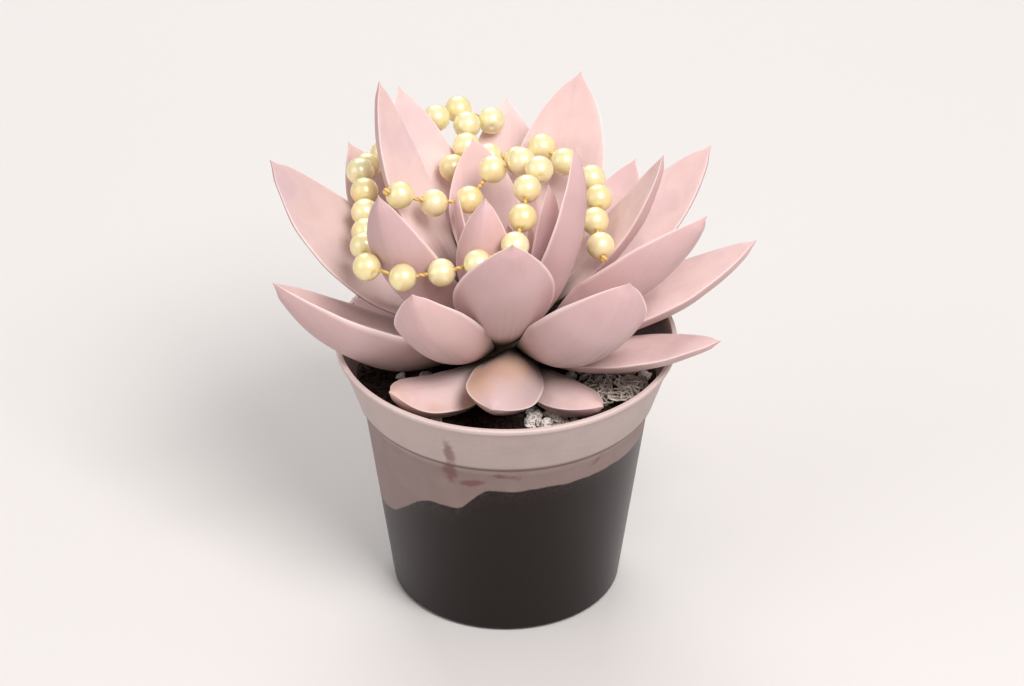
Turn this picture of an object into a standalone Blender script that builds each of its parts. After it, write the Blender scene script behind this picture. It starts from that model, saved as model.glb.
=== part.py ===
"""Potted echeveria with a string of beads, as closed solids in metres.

The plant stands in a thin tapered nursery pot. Its leaves sit on a short stem by the golden
angle, each one turning further round and rising more steeply than the last, and a string of
round beads lies in loops among them. The origin is the centre of the pot's base, +Z is up and
the front of the plant is towards -Y.
"""

import math
import random

import bmesh
import bpy
from mathutils import Quaternion, Vector
from mathutils.bvhtree import BVHTree

MM = 0.001
GAP = 0.3 * MM

# Pot: a turned shell, 88 mm across the rim.
POT_SIDES = 48
POT_HEIGHT = 72.0 * MM
BASE_RADIUS = 29.5 * MM
BASE_EDGE = 1.0 * MM
BODY_TOP_RADIUS = 37.2 * MM
BODY_TOP_Z = 56.0 * MM
BAND_FOOT_RADIUS = 38.5 * MM
BAND_TOP_RADIUS = 43.2 * MM
RIM_RADIUS = 44.0 * MM
LIP_HEIGHT = 1.6 * MM
WALL = 1.0 * MM
FLOOR_THICKNESS = 1.2 * MM
DRAIN_HOLES = 6
DRAIN_RADIUS = 3.0 * MM
DRAIN_CIRCLE = 20.0 * MM
DRAIN_SIDES = 16

# Soil: fills the pot to a little under the rim.
SOIL_TOP = 60.0 * MM
SOIL_RELIEF = 0.9 * MM
SOIL_HOLE_DEPTH = 26.0 * MM
SOIL_RINGS = 13
PERLITE_GRAINS = 16
PERLITE_RADIUS = (1.6 * MM, 2.6 * MM)
PERLITE_RISE = 1.7 * MM
PERLITE_SEED = 11

# Stem and the leaf seats on it, lowest to highest.
SEATS = 28
GOLDEN_ANGLE = 137.508
FIRST_AZIMUTH = 77.5
SEAT_RADIUS = (9.5 * MM, 6.0 * MM)
SEAT_HEIGHT = (POT_HEIGHT - 4.7 * MM, POT_HEIGHT + 9.5 * MM)
STEM_SIDES = 24
STEM_CLEARANCE = 0.8 * MM
STEM_TIP_RADIUS = 4.0 * MM
STEM_TIP_RISE = 2.4 * MM
STEM_FOOT_RADIUS = 5.0 * MM
STEM_NECK_RADIUS = 7.0 * MM
STEM_NECK_RISE = 8.0 * MM
STEM_RINGS = 7
STEM_BARE = 6.0 * MM
STEM_PINCH = 0.25 * MM

# Leaf rule by seat, from the lowest (0) to the innermost (1).
RISE_BY_SEAT = ((0.0, 5.0), (0.2, 22.0), (0.45, 38.0), (0.7, 52.0), (0.9, 68.0), (1.0, 76.0))
REACH_BY_SEAT = ((0.0, 30.0), (0.1, 42.0), (0.2, 55.0), (0.55, 66.0), (0.8, 60.0), (1.0, 44.0))
BREADTH_BY_SEAT = ((0.0, 17.0), (0.2, 20.0), (0.5, 22.5), (0.8, 20.5), (1.0, 11.0))
DEPTH_BY_SEAT = ((0.0, 5.8), (0.1, 6.8), (0.25, 7.6), (0.5, 8.2), (0.85, 6.4), (1.0, 4.2))
CURL_BY_SEAT = ((0.0, 12.0), (0.3, 23.0), (0.8, 19.6), (1.0, 12.0))

# Leaves that have grown off the rule: seat -> (azimuth, rise and roll in degrees, reach in mm).
GROWN = {
    0: (79.0, 8.0, -4.0, 30.0),
    1: (313.0, 4.4, 0.0, 29.5),
    2: (158.0, 9.5, -2.5, 34.0),
    3: (20.0, 14.6, -2.0, 43.0),
    4: (219.0, 8.7, -12.5, 34.0),
    5: (110.0, 21.2, -1.0, 53.0),
    6: (338.0, 16.8, -4.0, 52.5),
    7: (192.0, 26.4, 15.0, 58.0),
    8: (54.0, 27.0, -2.5, 56.0),
    9: (260.5, 5.6, -9.0, 31.0),
    10: (134.0, 34.0, 0.0, 60.0),
    11: (357.0, 28.0, 0.0, 63.0),
    12: (241.0, 44.0, 25.5, 51.5),
    13: (90.0, 37.5, 0.0, 60.5),
    14: (308.5, 42.6, -27.5, 56.0),
    15: (169.5, 39.3, -12.0, 69.0),
    16: (24.0, 37.0, 0.0, 64.0),
    17: (275.5, 57.0, 0.0, 56.5),
    18: (124.0, 47.0, 0.0, 62.5),
    19: (340.5, 42.3, -40.0, 62.5),
    20: (211.0, 58.2, 40.0, 57.0),
    21: (64.0, 51.5, 0.0, 62.3),
    22: (333.0, 74.5, 0.0, 60.5),
    23: (152.0, 63.3, 3.0, 66.0),
    24: (6.0, 52.0, 0.0, 55.0),
    25: (260.5, 74.5, 0.0, 46.0),
    26: (112.0, 62.0, 0.0, 41.0),
    27: (321.5, 80.0, 0.0, 42.0),
}
BREADTH_GROWN = {
    1: 14.0, 4: 14.8, 6: 19.0, 7: 23.0, 8: 20.4, 9: 18.9, 12: 20.7, 14: 26.0, 15: 25.0, 16: 24.0,
    17: 25.5, 20: 18.5, 21: 25.5, 22: 14.0, 25: 15.0, 26: 19.0,
}
DEPTH_GROWN = {
    1: 6.0, 3: 5.4, 4: 7.2, 6: 5.5, 7: 13.0, 9: 6.8, 11: 6.8, 12: 8.0, 14: 10.4, 22: 6.0, 25: 6.2,
    26: 6.0,
}
CURL_GROWN = {
    4: 26.5, 6: 6.0, 7: 7.0, 9: 5.5, 11: 13.0, 12: 15.0, 14: 16.0, 15: 16.0, 16: 16.0, 17: 3.0,
    19: 8.0,
}
CHANNEL_GROWN = {1: -0.1, 4: -0.08, 7: 0.28, 9: -0.2}

# Leaf form: stations along the leaf, its root, and where it is widest and deepest.
LEAF_STATIONS = (0.0, 0.07, 0.18, 0.32, 0.46, 0.6, 0.73, 0.84, 0.93, 0.985)
BUD_STATIONS = (0.0, 0.3, 0.6, 0.85, 0.97)
LEAF_SIDES = 12
BUD_SIDES = 8
ROOT_BREADTH = 7.0 * MM
ROOT_DEPTH = 2.6 * MM
WIDEST = 0.5
DEEPEST = 0.4
ROOT_PULL = 0.34
TIP_PULL = 0.33
ROLL_BY = 0.35
UPRIGHT_ROOT = 0.12
SECTION_POWER = 2.3
TIP_DEPTH = 0.8 * MM
TAPER = 2.2
BLUNT_TAPER = 3.4
BLUNT_SEATS = (0, 4, 9)
CROWN_SHARE = 0.14
CHANNEL_SHARE = 0.05

# Heart: small leaves on the stem's tip.
BUD_LEAVES = 8
BUD_REACH = (30.0 * MM, 12.0 * MM)
BUD_BREADTH = (9.0 * MM, 4.0 * MM)
BUD_DEPTH = (3.0 * MM, 2.0 * MM)
BUD_RISE = (74.0, 86.0)
BUD_RADIUS = (4.0 * MM, 1.0 * MM)
BUD_SEAT = (2.5 * MM, 3.4 * MM)
BUD_CURL = 8.0
BUD_CORE_RADIUS = 4.6 * MM
BUD_CORE_HEIGHT = 4.5 * MM

# Bead string: where each bead is laid, in mm, x and y from the axis and z above the pot's rim.
BEAD_RADIUS = 3.6 * MM
BEAD_SPACING = (7.4 * MM, 10.4 * MM)
BEAD_CLEARANCE = 0.35 * MM
BEAD_PLACES = (
    (24.0, -4.0, 30.0),
    (22.6, 3.4, 32.8),
    (23.6, 10.6, 35.2),
    (22.0, 17.8, 36.7),
    (15.0, 23.5, 38.3),
    (9.0, 30.6, 38.2),
    (3.0, 27.5, 36.4),
    (-5.0, 25.5, 36.5),
    (-13.8, 30.4, 32.2),
    (-11.5, 38.3, 33.6),
    (-9.3, 45.2, 36.2),
    (-4.8, 51.0, 33.6),
    (-12.5, 53.0, 36.4),
    (-18.2, 47.5, 37.0),
    (-25.0, 43.5, 35.0),
    (-31.8, 37.0, 32.5),
    (-36.0, 31.0, 32.4),
    (-37.5, 24.0, 35.0),
    (-36.3, 16.2, 33.8),
    (-36.0, 8.5, 32.2),
    (-35.8, 1.0, 31.0),
    (-35.0, -9.0, 32.5),
    (-32.6, -18.8, 34.0),
    (-25.8, -23.0, 33.0),
    (-16.3, -21.5, 33.2),
    (-7.0, -23.8, 37.3),
    (2.3, -21.8, 41.2),
    (4.2, -14.0, 44.6),
    (5.3, -5.2, 47.7),
    (8.4, 2.2, 48.8),
    (4.0, 9.3, 47.0),
    (-3.4, 11.5, 43.3),
    (-9.3, 6.6, 37.2),
    (-18.3, 4.3, 37.6),
    (-27.0, 0.5, 42.4),
)
THREAD_RADIUS = 0.6 * MM
SETTLE_ROUNDS = 300
SETTLE_HOLD = 0.04
INSIDE_TURN = -0.9


def blend(table, share):
    """Linear reading of a table of (share, value) pairs."""
    for (low, first), (high, last) in zip(table, table[1:]):
        if share <= high:
            return first + (last - first) * (share - low) / (high - low)
    return table[-1][1]


def between(pair, share):
    """Value at a share of the way from the first to the last of a pair."""
    return pair[0] + (pair[1] - pair[0]) * share


def heading(azimuth, rise):
    """Unit vector at an azimuth and a rise in degrees."""
    turn = math.radians(azimuth)
    climb = math.radians(rise)
    return Vector((math.cos(climb) * math.cos(turn), math.cos(climb) * math.sin(turn), math.sin(climb)))


def paint(name, colour, roughness):
    """Plain Principled material from a linear colour."""
    material = bpy.data.materials.new(name)
    material.use_nodes = True
    shader = material.node_tree.nodes["Principled BSDF"]
    shader.inputs["Base Color"].default_value = (*colour, 1.0)
    shader.inputs["Roughness"].default_value = roughness
    shader.inputs["Metallic"].default_value = 0.0
    return material


def add_object(name, mesh_data, material, sharp_angle=40.0):
    """Object of a bmesh, shaded smooth up to an angle."""
    bmesh.ops.recalc_face_normals(mesh_data, faces=mesh_data.faces)
    mesh = bpy.data.meshes.new(name)
    mesh_data.to_mesh(mesh)
    mesh_data.free()
    mesh.shade_smooth()
    mesh.set_sharp_from_angle(angle=math.radians(sharp_angle))
    mesh.materials.append(material)
    item = bpy.data.objects.new(name, mesh)
    bpy.context.scene.collection.objects.link(item)
    return item


def bridge(mesh_data, first, second):
    """Quads between two closed rings of equal length."""
    count = len(first)
    for index in range(count):
        after = (index + 1) % count
        mesh_data.faces.new((first[index], first[after], second[after], second[index]))


def fan(mesh_data, ring, pole):
    """Triangles from a closed ring to a point."""
    count = len(ring)
    for index in range(count):
        mesh_data.faces.new((ring[index], ring[(index + 1) % count], pole))


def turned(profile, sides, lift=None):
    """Solid of revolution: the profile starts and ends on the axis."""
    mesh_data = bmesh.new()
    start = mesh_data.verts.new((0.0, 0.0, profile[0][1]))
    end = mesh_data.verts.new((0.0, 0.0, profile[-1][1]))
    rings = []
    for radius, height in profile[1:-1]:
        ring = []
        for side in range(sides):
            turn = 2.0 * math.pi * side / sides
            x = radius * math.cos(turn)
            y = radius * math.sin(turn)
            ring.append(mesh_data.verts.new((x, y, height + (lift(x, y, height) if lift else 0.0))))
        rings.append(ring)
    for first, second in zip(rings, rings[1:]):
        bridge(mesh_data, first, second)
    fan(mesh_data, rings[0], start)
    fan(mesh_data, rings[-1], end)
    return mesh_data


def inner_radius(height):
    """Inside radius of the pot at a height above its base."""
    if height <= BODY_TOP_Z:
        return BASE_RADIUS + (BODY_TOP_RADIUS - BASE_RADIUS) * height / BODY_TOP_Z - WALL
    rise = (height - BODY_TOP_Z) / (POT_HEIGHT - LIP_HEIGHT - BODY_TOP_Z)
    return BAND_FOOT_RADIUS + (BAND_TOP_RADIUS - BAND_FOOT_RADIUS) * rise - WALL


def make_pot(material):
    """Turned pot with a step under the rim band, and drainage holes through its floor."""
    lip_foot = POT_HEIGHT - LIP_HEIGHT
    profile = (
        (0.0, 0.0),
        (BASE_RADIUS - BASE_EDGE, 0.0),
        (BASE_RADIUS, BASE_EDGE),
        (BODY_TOP_RADIUS, BODY_TOP_Z),
        (BAND_FOOT_RADIUS - 0.3 * MM, BODY_TOP_Z),
        (BAND_FOOT_RADIUS, BODY_TOP_Z + 0.4 * MM),
        (BAND_TOP_RADIUS, lip_foot),
        (RIM_RADIUS, lip_foot + 0.4 * MM),
        (RIM_RADIUS, POT_HEIGHT - 0.3 * MM),
        (RIM_RADIUS - 0.3 * MM, POT_HEIGHT),
        (RIM_RADIUS - 1.2 * MM, POT_HEIGHT),
        (BAND_TOP_RADIUS - WALL, lip_foot),
        (inner_radius(BODY_TOP_Z + 0.2 * MM), BODY_TOP_Z + 1.2 * MM),
        (inner_radius(BODY_TOP_Z), BODY_TOP_Z + 0.4 * MM),
        (inner_radius(FLOOR_THICKNESS) - 0.4 * MM, FLOOR_THICKNESS),
        (0.0, FLOOR_THICKNESS),
    )
    pot = add_object("pot", turned(profile, POT_SIDES), material, 30.0)
    for hole in range(DRAIN_HOLES):
        turn = 2.0 * math.pi * (hole + 0.4) / DRAIN_HOLES
        bpy.ops.mesh.primitive_cylinder_add(
            vertices=DRAIN_SIDES,
            radius=DRAIN_RADIUS,
            depth=4.0 * FLOOR_THICKNESS,
            location=(DRAIN_CIRCLE * math.cos(turn), DRAIN_CIRCLE * math.sin(turn), 0.0),
        )
        cutter = bpy.context.active_object
        cutter.name = f"drain_cutter_{hole + 1}"
        cutter.hide_render = True
        cutter.display_type = "WIRE"
        cut = pot.modifiers.new(f"drain_{hole + 1}", "BOOLEAN")
        cut.operation = "DIFFERENCE"
        cut.object = cutter
    return pot


def perlite_spots():
    """Seeded places, sizes and rises of the grains at the soil's surface."""
    draw = random.Random(PERLITE_SEED)
    spots = []
    for _ in range(PERLITE_GRAINS):
        reach = math.sqrt(draw.uniform(0.16, 0.86)) * inner_radius(SOIL_TOP)
        turn = draw.uniform(0.0, 2.0 * math.pi)
        spots.append((reach * math.cos(turn), reach * math.sin(turn), draw.uniform(*PERLITE_RADIUS)))
    return spots


def soil_surface(x, y, spots):
    """Height of the soil's crumbly surface above its mean level."""
    wave = math.sin(x / (3.1 * MM) + 1.3) * math.cos(y / (3.7 * MM) + 0.4)
    ripple = math.sin((x + y) / (5.3 * MM)) * 0.6
    height = SOIL_RELIEF * 0.5 * (wave + ripple)
    for spot_x, spot_y, size in spots:
        away = math.hypot(x - spot_x, y - spot_y) / size
        if away < 1.0:
            height += PERLITE_RISE * (1.0 - away * away)
    return height


def stem_radius(height):
    """Stem radius at a height: the leaf seats lie just outside it."""
    low, high = SEAT_HEIGHT
    share = min(max((height - low) / (high - low), 0.0), 1.0)
    return between(SEAT_RADIUS, share) - STEM_CLEARANCE


def make_soil(material):
    """Soil body with a crumbly top and a plain hole for the stem."""
    spots = perlite_spots()
    hole = SEAT_RADIUS[0] + 0.1 * MM
    hole_floor = SOIL_TOP - SOIL_HOLE_DEPTH
    floor = FLOOR_THICKNESS + GAP
    edge = inner_radius(SOIL_TOP) - 0.8 * MM
    sides = [(0.0, floor), (inner_radius(floor) - 1.2 * MM, floor)]
    sides.append((inner_radius(BODY_TOP_Z) - GAP - 0.2 * MM, BODY_TOP_Z - 0.6 * MM))
    sides.append((inner_radius(BODY_TOP_Z) - GAP - 0.2 * MM, BODY_TOP_Z + 1.4 * MM))
    top = []
    for ring in range(SOIL_RINGS):
        share = ring / (SOIL_RINGS - 1)
        top.append((edge + (hole - edge) * share, SOIL_TOP))
    inside = [(hole, hole_floor), (0.0, hole_floor)]

    def lift(x, y, height):
        if abs(height - SOIL_TOP) > 0.1 * MM:
            return 0.0
        return soil_surface(x, y, spots)

    return add_object("soil", turned(sides + top + inside, POT_SIDES, lift), material, 60.0)


def make_stem(material):
    """Woody stem from its foot in the soil to the tip under the heart."""
    low, high = SEAT_HEIGHT
    foot = SOIL_TOP - SOIL_HOLE_DEPTH + GAP
    profile = [(0.0, foot), (STEM_FOOT_RADIUS, foot), (STEM_NECK_RADIUS, foot + STEM_NECK_RISE)]
    for step in range(STEM_RINGS):
        height = low - STEM_BARE + (high + STEM_BARE - low) * step / (STEM_RINGS - 1)
        profile.append((stem_radius(height) - STEM_PINCH * (step % 2), height))
    profile.append((STEM_TIP_RADIUS, high + STEM_TIP_RISE))
    profile.append((0.0, high + STEM_TIP_RISE))
    return add_object("stem", turned(profile, STEM_SIDES), material, 50.0)


def bezier(points, share):
    """Point on a cubic through its first and last control points."""
    rest = 1.0 - share
    weights = (rest**3, 3.0 * rest * rest * share, 3.0 * rest * share * share, share**3)
    return sum((point * weight for point, weight in zip(points, weights)), Vector())


def breadth_share(share, taper):
    """Share of a leaf's full breadth: narrow root, widest about the middle, pointed or blunt tip."""
    if share < WIDEST:
        return math.sin(0.5 * math.pi * share / WIDEST) ** 0.8
    past = (share - WIDEST) / (1.0 - WIDEST)
    return 1.0 - past**taper


def depth_share(share):
    """Share of a leaf's full depth, thickest before the middle."""
    if share < DEEPEST:
        return math.sin(0.5 * math.pi * share / DEEPEST)
    past = (share - DEEPEST) / (1.0 - DEEPEST)
    return 1.0 - past**2.0


class Leaf:
    """One boat-shaped leaf: a curved axis with keeled sections along it."""

    def __init__(
        self, root, seat_azimuth, tip_azimuth, rise, roll, reach, breadth, depth, curl, taper, channel
    ):
        self.seat_azimuth = seat_azimuth
        self.lean = (tip_azimuth - seat_azimuth + 180.0) % 360.0 - 180.0
        self.roll = roll
        self.breadth = breadth
        self.depth = depth
        self.taper = taper
        self.channel = channel
        self.tip = root + heading(tip_azimuth, rise) * reach
        start = heading(seat_azimuth + 0.4 * self.lean, rise - curl)
        finish = heading(tip_azimuth + 0.2 * self.lean, min(rise + curl, 96.0))
        self.axis = (root, root + start * reach * ROOT_PULL, self.tip - finish * reach * TIP_PULL, self.tip)

    def frame(self, share):
        """Point, side and upward directions at a share of the leaf's length."""
        step = 0.002
        ahead = bezier(self.axis, min(share + step, 1.0))
        behind = bezier(self.axis, max(share - step, 0.0))
        along = (ahead - behind).normalized()
        turn = math.radians(self.seat_azimuth + self.lean * min(1.0, 0.3 + share))
        side = Vector((-math.sin(turn), math.cos(turn), 0.0))
        side = (side - along * side.dot(along)).normalized()
        roll = Quaternion(along, math.radians(self.roll * min(1.0, share / ROLL_BY)))
        side = roll @ side
        up = along.cross(side)
        root_share = max(0.0, 1.0 - share / UPRIGHT_ROOT)
        up = (up * (1.0 - root_share) + Vector((0.0, 0.0, 1.0)) * root_share).normalized()
        return bezier(self.axis, share), side, up

    def ring(self, share, sides):
        """Points round one section: nearly flat above, keeled below."""
        point, side, up = self.frame(share)
        fullness = breadth_share(share, self.taper)
        least_breadth, least_depth = (ROOT_BREADTH, ROOT_DEPTH)
        if share > WIDEST:
            least_breadth = 0.0
        if share > DEEPEST:
            least_depth = TIP_DEPTH
        breadth = least_breadth + (self.breadth - least_breadth) * fullness
        depth = least_depth + (self.depth - least_depth) * depth_share(share)
        places = []
        for index in range(sides):
            turn = 2.0 * math.pi * index / sides
            middle = 1.0 - abs(math.cos(turn)) ** SECTION_POWER
            if math.sin(turn) > 0.0:
                height = CROWN_SHARE * depth * middle - self.channel * breadth * middle * middle
            else:
                height = (CROWN_SHARE - 1.0) * depth * middle
            places.append(point + side * 0.5 * breadth * math.cos(turn) + up * height)
        return places

    def build(self, mesh_data, stations, sides):
        """Add the leaf's closed skin to a bmesh."""
        rings = []
        for share in stations:
            rings.append([mesh_data.verts.new(place) for place in self.ring(share, sides)])
        for first, second in zip(rings, rings[1:]):
            bridge(mesh_data, first, second)
        root = mesh_data.verts.new(sum((vert.co for vert in rings[0]), Vector()) / sides)
        tip = mesh_data.verts.new(self.tip)
        fan(mesh_data, rings[0], root)
        fan(mesh_data, rings[-1], tip)


def seated_leaf(seat):
    """Leaf of a seat, by the rule of the rosette and by how it has grown."""
    share = seat / (SEATS - 1)
    azimuth = (FIRST_AZIMUTH - GOLDEN_ANGLE * seat) % 360.0
    rule = (azimuth, blend(RISE_BY_SEAT, share), 0.0, blend(REACH_BY_SEAT, share))
    tip_azimuth, rise, roll, reach = GROWN.get(seat, rule)
    root = heading(azimuth, 0.0) * between(SEAT_RADIUS, share)
    root.z = between(SEAT_HEIGHT, share)
    return Leaf(
        root=root,
        seat_azimuth=azimuth,
        tip_azimuth=tip_azimuth,
        rise=rise,
        roll=roll,
        reach=reach * MM,
        breadth=BREADTH_GROWN.get(seat, blend(BREADTH_BY_SEAT, share)) * MM,
        depth=DEPTH_GROWN.get(seat, blend(DEPTH_BY_SEAT, share)) * MM,
        curl=CURL_GROWN.get(seat, blend(CURL_BY_SEAT, share)),
        taper=BLUNT_TAPER if seat in BLUNT_SEATS else TAPER,
        channel=CHANNEL_GROWN.get(seat, CHANNEL_SHARE),
    )


def fuse(name, pieces, material, sharp_angle):
    """One solid from loose closed pieces, joined by a Boolean union."""
    group = bpy.data.collections.new(f"{name}_pieces")
    bpy.context.scene.collection.children.link(group)
    for piece in pieces[1:]:
        bpy.context.scene.collection.objects.unlink(piece)
        group.objects.link(piece)
    body = pieces[0]
    body.name = name
    join = body.modifiers.new("join", "BOOLEAN")
    join.operation = "UNION"
    join.operand_type = "COLLECTION"
    join.collection = group
    join.solver = "EXACT"
    view = bpy.context.evaluated_depsgraph_get()
    mesh = bpy.data.meshes.new_from_object(body.evaluated_get(view))
    mesh.name = name
    body.modifiers.clear()
    body.data = mesh
    for piece in pieces[1:]:
        bpy.data.objects.remove(piece)
    bpy.data.collections.remove(group)
    mesh.materials.clear()
    mesh.materials.append(material)
    mesh.shade_smooth()
    mesh.set_sharp_from_angle(angle=math.radians(sharp_angle))
    return body


def make_heart(material):
    """Bud of small upright leaves round a core on the stem's tip."""
    foot = SEAT_HEIGHT[1] + STEM_TIP_RISE + GAP
    core = (
        (0.0, foot),
        (BUD_CORE_RADIUS * 0.8, foot),
        (BUD_CORE_RADIUS, foot + 0.4 * BUD_CORE_HEIGHT),
        (BUD_CORE_RADIUS * 0.6, foot + BUD_CORE_HEIGHT),
        (0.0, foot + BUD_CORE_HEIGHT),
    )
    pieces = [add_object("heart", turned(core, 12), material)]
    for place in range(BUD_LEAVES):
        share = place / (BUD_LEAVES - 1)
        azimuth = (FIRST_AZIMUTH - GOLDEN_ANGLE * (SEATS + place)) % 360.0
        root = heading(azimuth, 0.0) * between(BUD_RADIUS, share)
        root.z = foot + between(BUD_SEAT, share)
        rise = between(BUD_RISE, share)
        leaf = Leaf(
            root=root,
            seat_azimuth=azimuth,
            tip_azimuth=azimuth,
            rise=rise,
            roll=0.0,
            reach=between(BUD_REACH, share),
            breadth=between(BUD_BREADTH, share),
            depth=between(BUD_DEPTH, share),
            curl=BUD_CURL,
            taper=TAPER,
            channel=CHANNEL_SHARE,
        )
        mesh_data = bmesh.new()
        leaf.build(mesh_data, BUD_STATIONS, BUD_SIDES)
        pieces.append(add_object(f"heart_leaf_{place + 1}", mesh_data, material))
    return fuse("heart", pieces, material, 40.0)


def push_clear(centre, solids):
    """Step that takes a bead's centre out of the leaves round it."""
    need = BEAD_RADIUS + BEAD_CLEARANCE
    step = Vector()
    for solid in solids:
        nearest, normal, _, distance = solid.find_nearest(centre, 2.0 * need)
        if nearest is None:
            continue
        away = (centre - nearest).normalized()
        if away.dot(normal) < INSIDE_TURN:
            step -= away * (distance + need)
        elif distance < need:
            step += away * (need - distance)
    return step


def keep_spacing(centre, other, threaded):
    """Step that holds two beads no closer than they touch, and threaded ones no farther than they reach."""
    apart = centre - other
    least, most = BEAD_SPACING
    if apart.length < least:
        return apart.normalized() * (least - apart.length)
    if threaded and apart.length > most:
        return apart.normalized() * (most - apart.length)
    return Vector()


def settled_beads(leaves):
    """Bead centres laid over the leaves: held near their places, clear of leaves and each other."""
    solids = []
    for leaf in leaves:
        mesh_data = bmesh.new()
        mesh_data.from_mesh(leaf.data)
        solids.append(BVHTree.FromBMesh(mesh_data))
        mesh_data.free()
    places = [Vector((x * MM, y * MM, z * MM + POT_HEIGHT)) for x, y, z in BEAD_PLACES]
    centres = [place.copy() for place in places]
    for turn in range(SETTLE_ROUNDS):
        hold = SETTLE_HOLD * (1.0 - turn / SETTLE_ROUNDS)
        for index, centre in enumerate(centres):
            step = (places[index] - centre) * hold + push_clear(centre, solids) * 0.5
            for number, other in enumerate(centres):
                if number != index:
                    step += keep_spacing(centre, other, abs(number - index) == 1) * 0.4
            centres[index] = centre + step
    return centres


def make_string(material, leaves):
    """Beads on their thread, fused in one solid."""
    centres = settled_beads(leaves)
    pieces = []
    mesh_data = bmesh.new()
    for first, second in zip(centres, centres[1:]):
        along = second - first
        twist = along.to_track_quat("Z", "Y").to_matrix().to_4x4()
        twist.translation = (first + second) / 2.0
        bmesh.ops.create_cone(
            mesh_data,
            cap_ends=True,
            segments=6,
            radius1=THREAD_RADIUS,
            radius2=THREAD_RADIUS,
            depth=along.length - BEAD_RADIUS,
            matrix=twist,
        )
    pieces.append(add_object("pearl_thread", mesh_data, material))
    for number, centre in enumerate(centres):
        bead = bmesh.new()
        bmesh.ops.create_icosphere(bead, subdivisions=2, radius=BEAD_RADIUS)
        bmesh.ops.translate(bead, verts=bead.verts, vec=centre)
        pieces.append(add_object(f"pearl_{number + 1}", bead, material))
    return fuse("pearl_string", pieces, material, 50.0)


def main():
    """Build every piece of the potted plant."""
    for item in list(bpy.data.objects):
        bpy.data.objects.remove(item)
    plastic = paint("pink_sprayed_plastic", (0.55, 0.36, 0.37), 0.5)
    earth = paint("potting_soil", (0.035, 0.026, 0.022), 0.95)
    wood = paint("stem_tissue", (0.16, 0.12, 0.07), 0.8)
    sprayed = paint("pink_sprayed_leaf", (0.68, 0.47, 0.48), 0.55)
    pearl = paint("cream_pearl", (0.78, 0.70, 0.42), 0.2)
    make_pot(plastic)
    make_soil(earth)
    make_stem(wood)
    leaves = []
    for seat in range(SEATS):
        mesh_data = bmesh.new()
        seated_leaf(seat).build(mesh_data, LEAF_STATIONS, LEAF_SIDES)
        leaves.append(add_object(f"leaf_{seat + 1:02d}", mesh_data, sprayed))
    leaves.append(make_heart(sprayed))
    make_string(pearl, leaves)


main()
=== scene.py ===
"""Looks of a potted echeveria with a string of pearl beads.

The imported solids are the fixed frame. Each class holds one sub-assembly: it builds finer pieces
over the solids that they stand for, and dresses them in a finish of its own. Lengths are in
metres unless a name says otherwise, +Z is up and the front of the plant is towards -Y.
"""

import logging
import math
import random
from dataclasses import dataclass, field
from enum import Enum
from typing import Any, Callable, Optional, Sequence, Union

import bmesh
import bpy
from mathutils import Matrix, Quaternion, Vector, noise
from mathutils.bvhtree import BVHTree


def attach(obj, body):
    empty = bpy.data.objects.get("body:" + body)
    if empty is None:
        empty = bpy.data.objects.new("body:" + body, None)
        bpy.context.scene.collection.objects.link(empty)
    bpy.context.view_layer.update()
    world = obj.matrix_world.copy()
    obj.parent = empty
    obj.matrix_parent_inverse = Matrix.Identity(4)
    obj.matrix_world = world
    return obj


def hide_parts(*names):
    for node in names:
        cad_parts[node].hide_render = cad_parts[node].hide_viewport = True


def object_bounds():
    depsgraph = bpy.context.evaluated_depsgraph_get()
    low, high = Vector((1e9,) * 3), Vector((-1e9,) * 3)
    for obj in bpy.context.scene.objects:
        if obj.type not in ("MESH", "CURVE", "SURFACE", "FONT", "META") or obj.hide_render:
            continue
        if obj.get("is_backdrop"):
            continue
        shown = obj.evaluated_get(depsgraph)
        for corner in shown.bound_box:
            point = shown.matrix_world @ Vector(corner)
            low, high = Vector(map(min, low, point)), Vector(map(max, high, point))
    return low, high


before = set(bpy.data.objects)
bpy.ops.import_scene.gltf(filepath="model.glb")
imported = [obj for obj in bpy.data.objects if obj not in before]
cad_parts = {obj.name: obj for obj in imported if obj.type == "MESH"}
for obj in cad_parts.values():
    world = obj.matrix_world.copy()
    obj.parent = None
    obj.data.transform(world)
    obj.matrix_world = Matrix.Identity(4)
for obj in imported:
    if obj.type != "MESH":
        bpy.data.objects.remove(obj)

MM = 0.001
BODY = "root"
LOG = logging.getLogger("potted_echeveria")

# Settings that many nodes share: a range with soft ends, and a mix of two colours.
SOFT = {"interpolation_type": "SMOOTHSTEP"}
TINT = {"data_type": "RGBA"}
# Detail of a noise that needs none of its own.
DETAIL = 2.0
# Fixes the noise that bends the leaves, which would otherwise differ from run to run.
NOISE_SEED = 6

Item = bpy.types.Object
Material = bpy.types.Material
Mesh = bpy.types.Mesh
Node = bpy.types.Node
Source = Union[bpy.types.Node, bpy.types.NodeSocket]
Inputs = Union[dict[str, Any], Sequence[Any]]
Pair = tuple[float, float]
Triple = tuple[float, float, float]
# A range in four numbers maps the first two onto the last two, and one in a pair maps its two
# onto nought and one.
Quad = tuple[float, float, float, float]
Table = tuple[Pair, ...]
Face = tuple[int, ...]


class Slot(Enum):
    """Material slots of the record, one for each kind of piece."""

    POT = "sprayed_plastic"
    SOIL = "potting_soil"
    LEAF = "sprayed_leaf"
    PEARL = "cream_pearl"


class Input(Enum):
    """Kinds of named input on a Geometry Nodes tree."""

    SHAPE = "NodeSocketGeometry"
    LENGTH = "NodeSocketFloat"
    COUNT = "NodeSocketInt"
    FINISH = "NodeSocketMaterial"


# Values and tables


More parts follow.
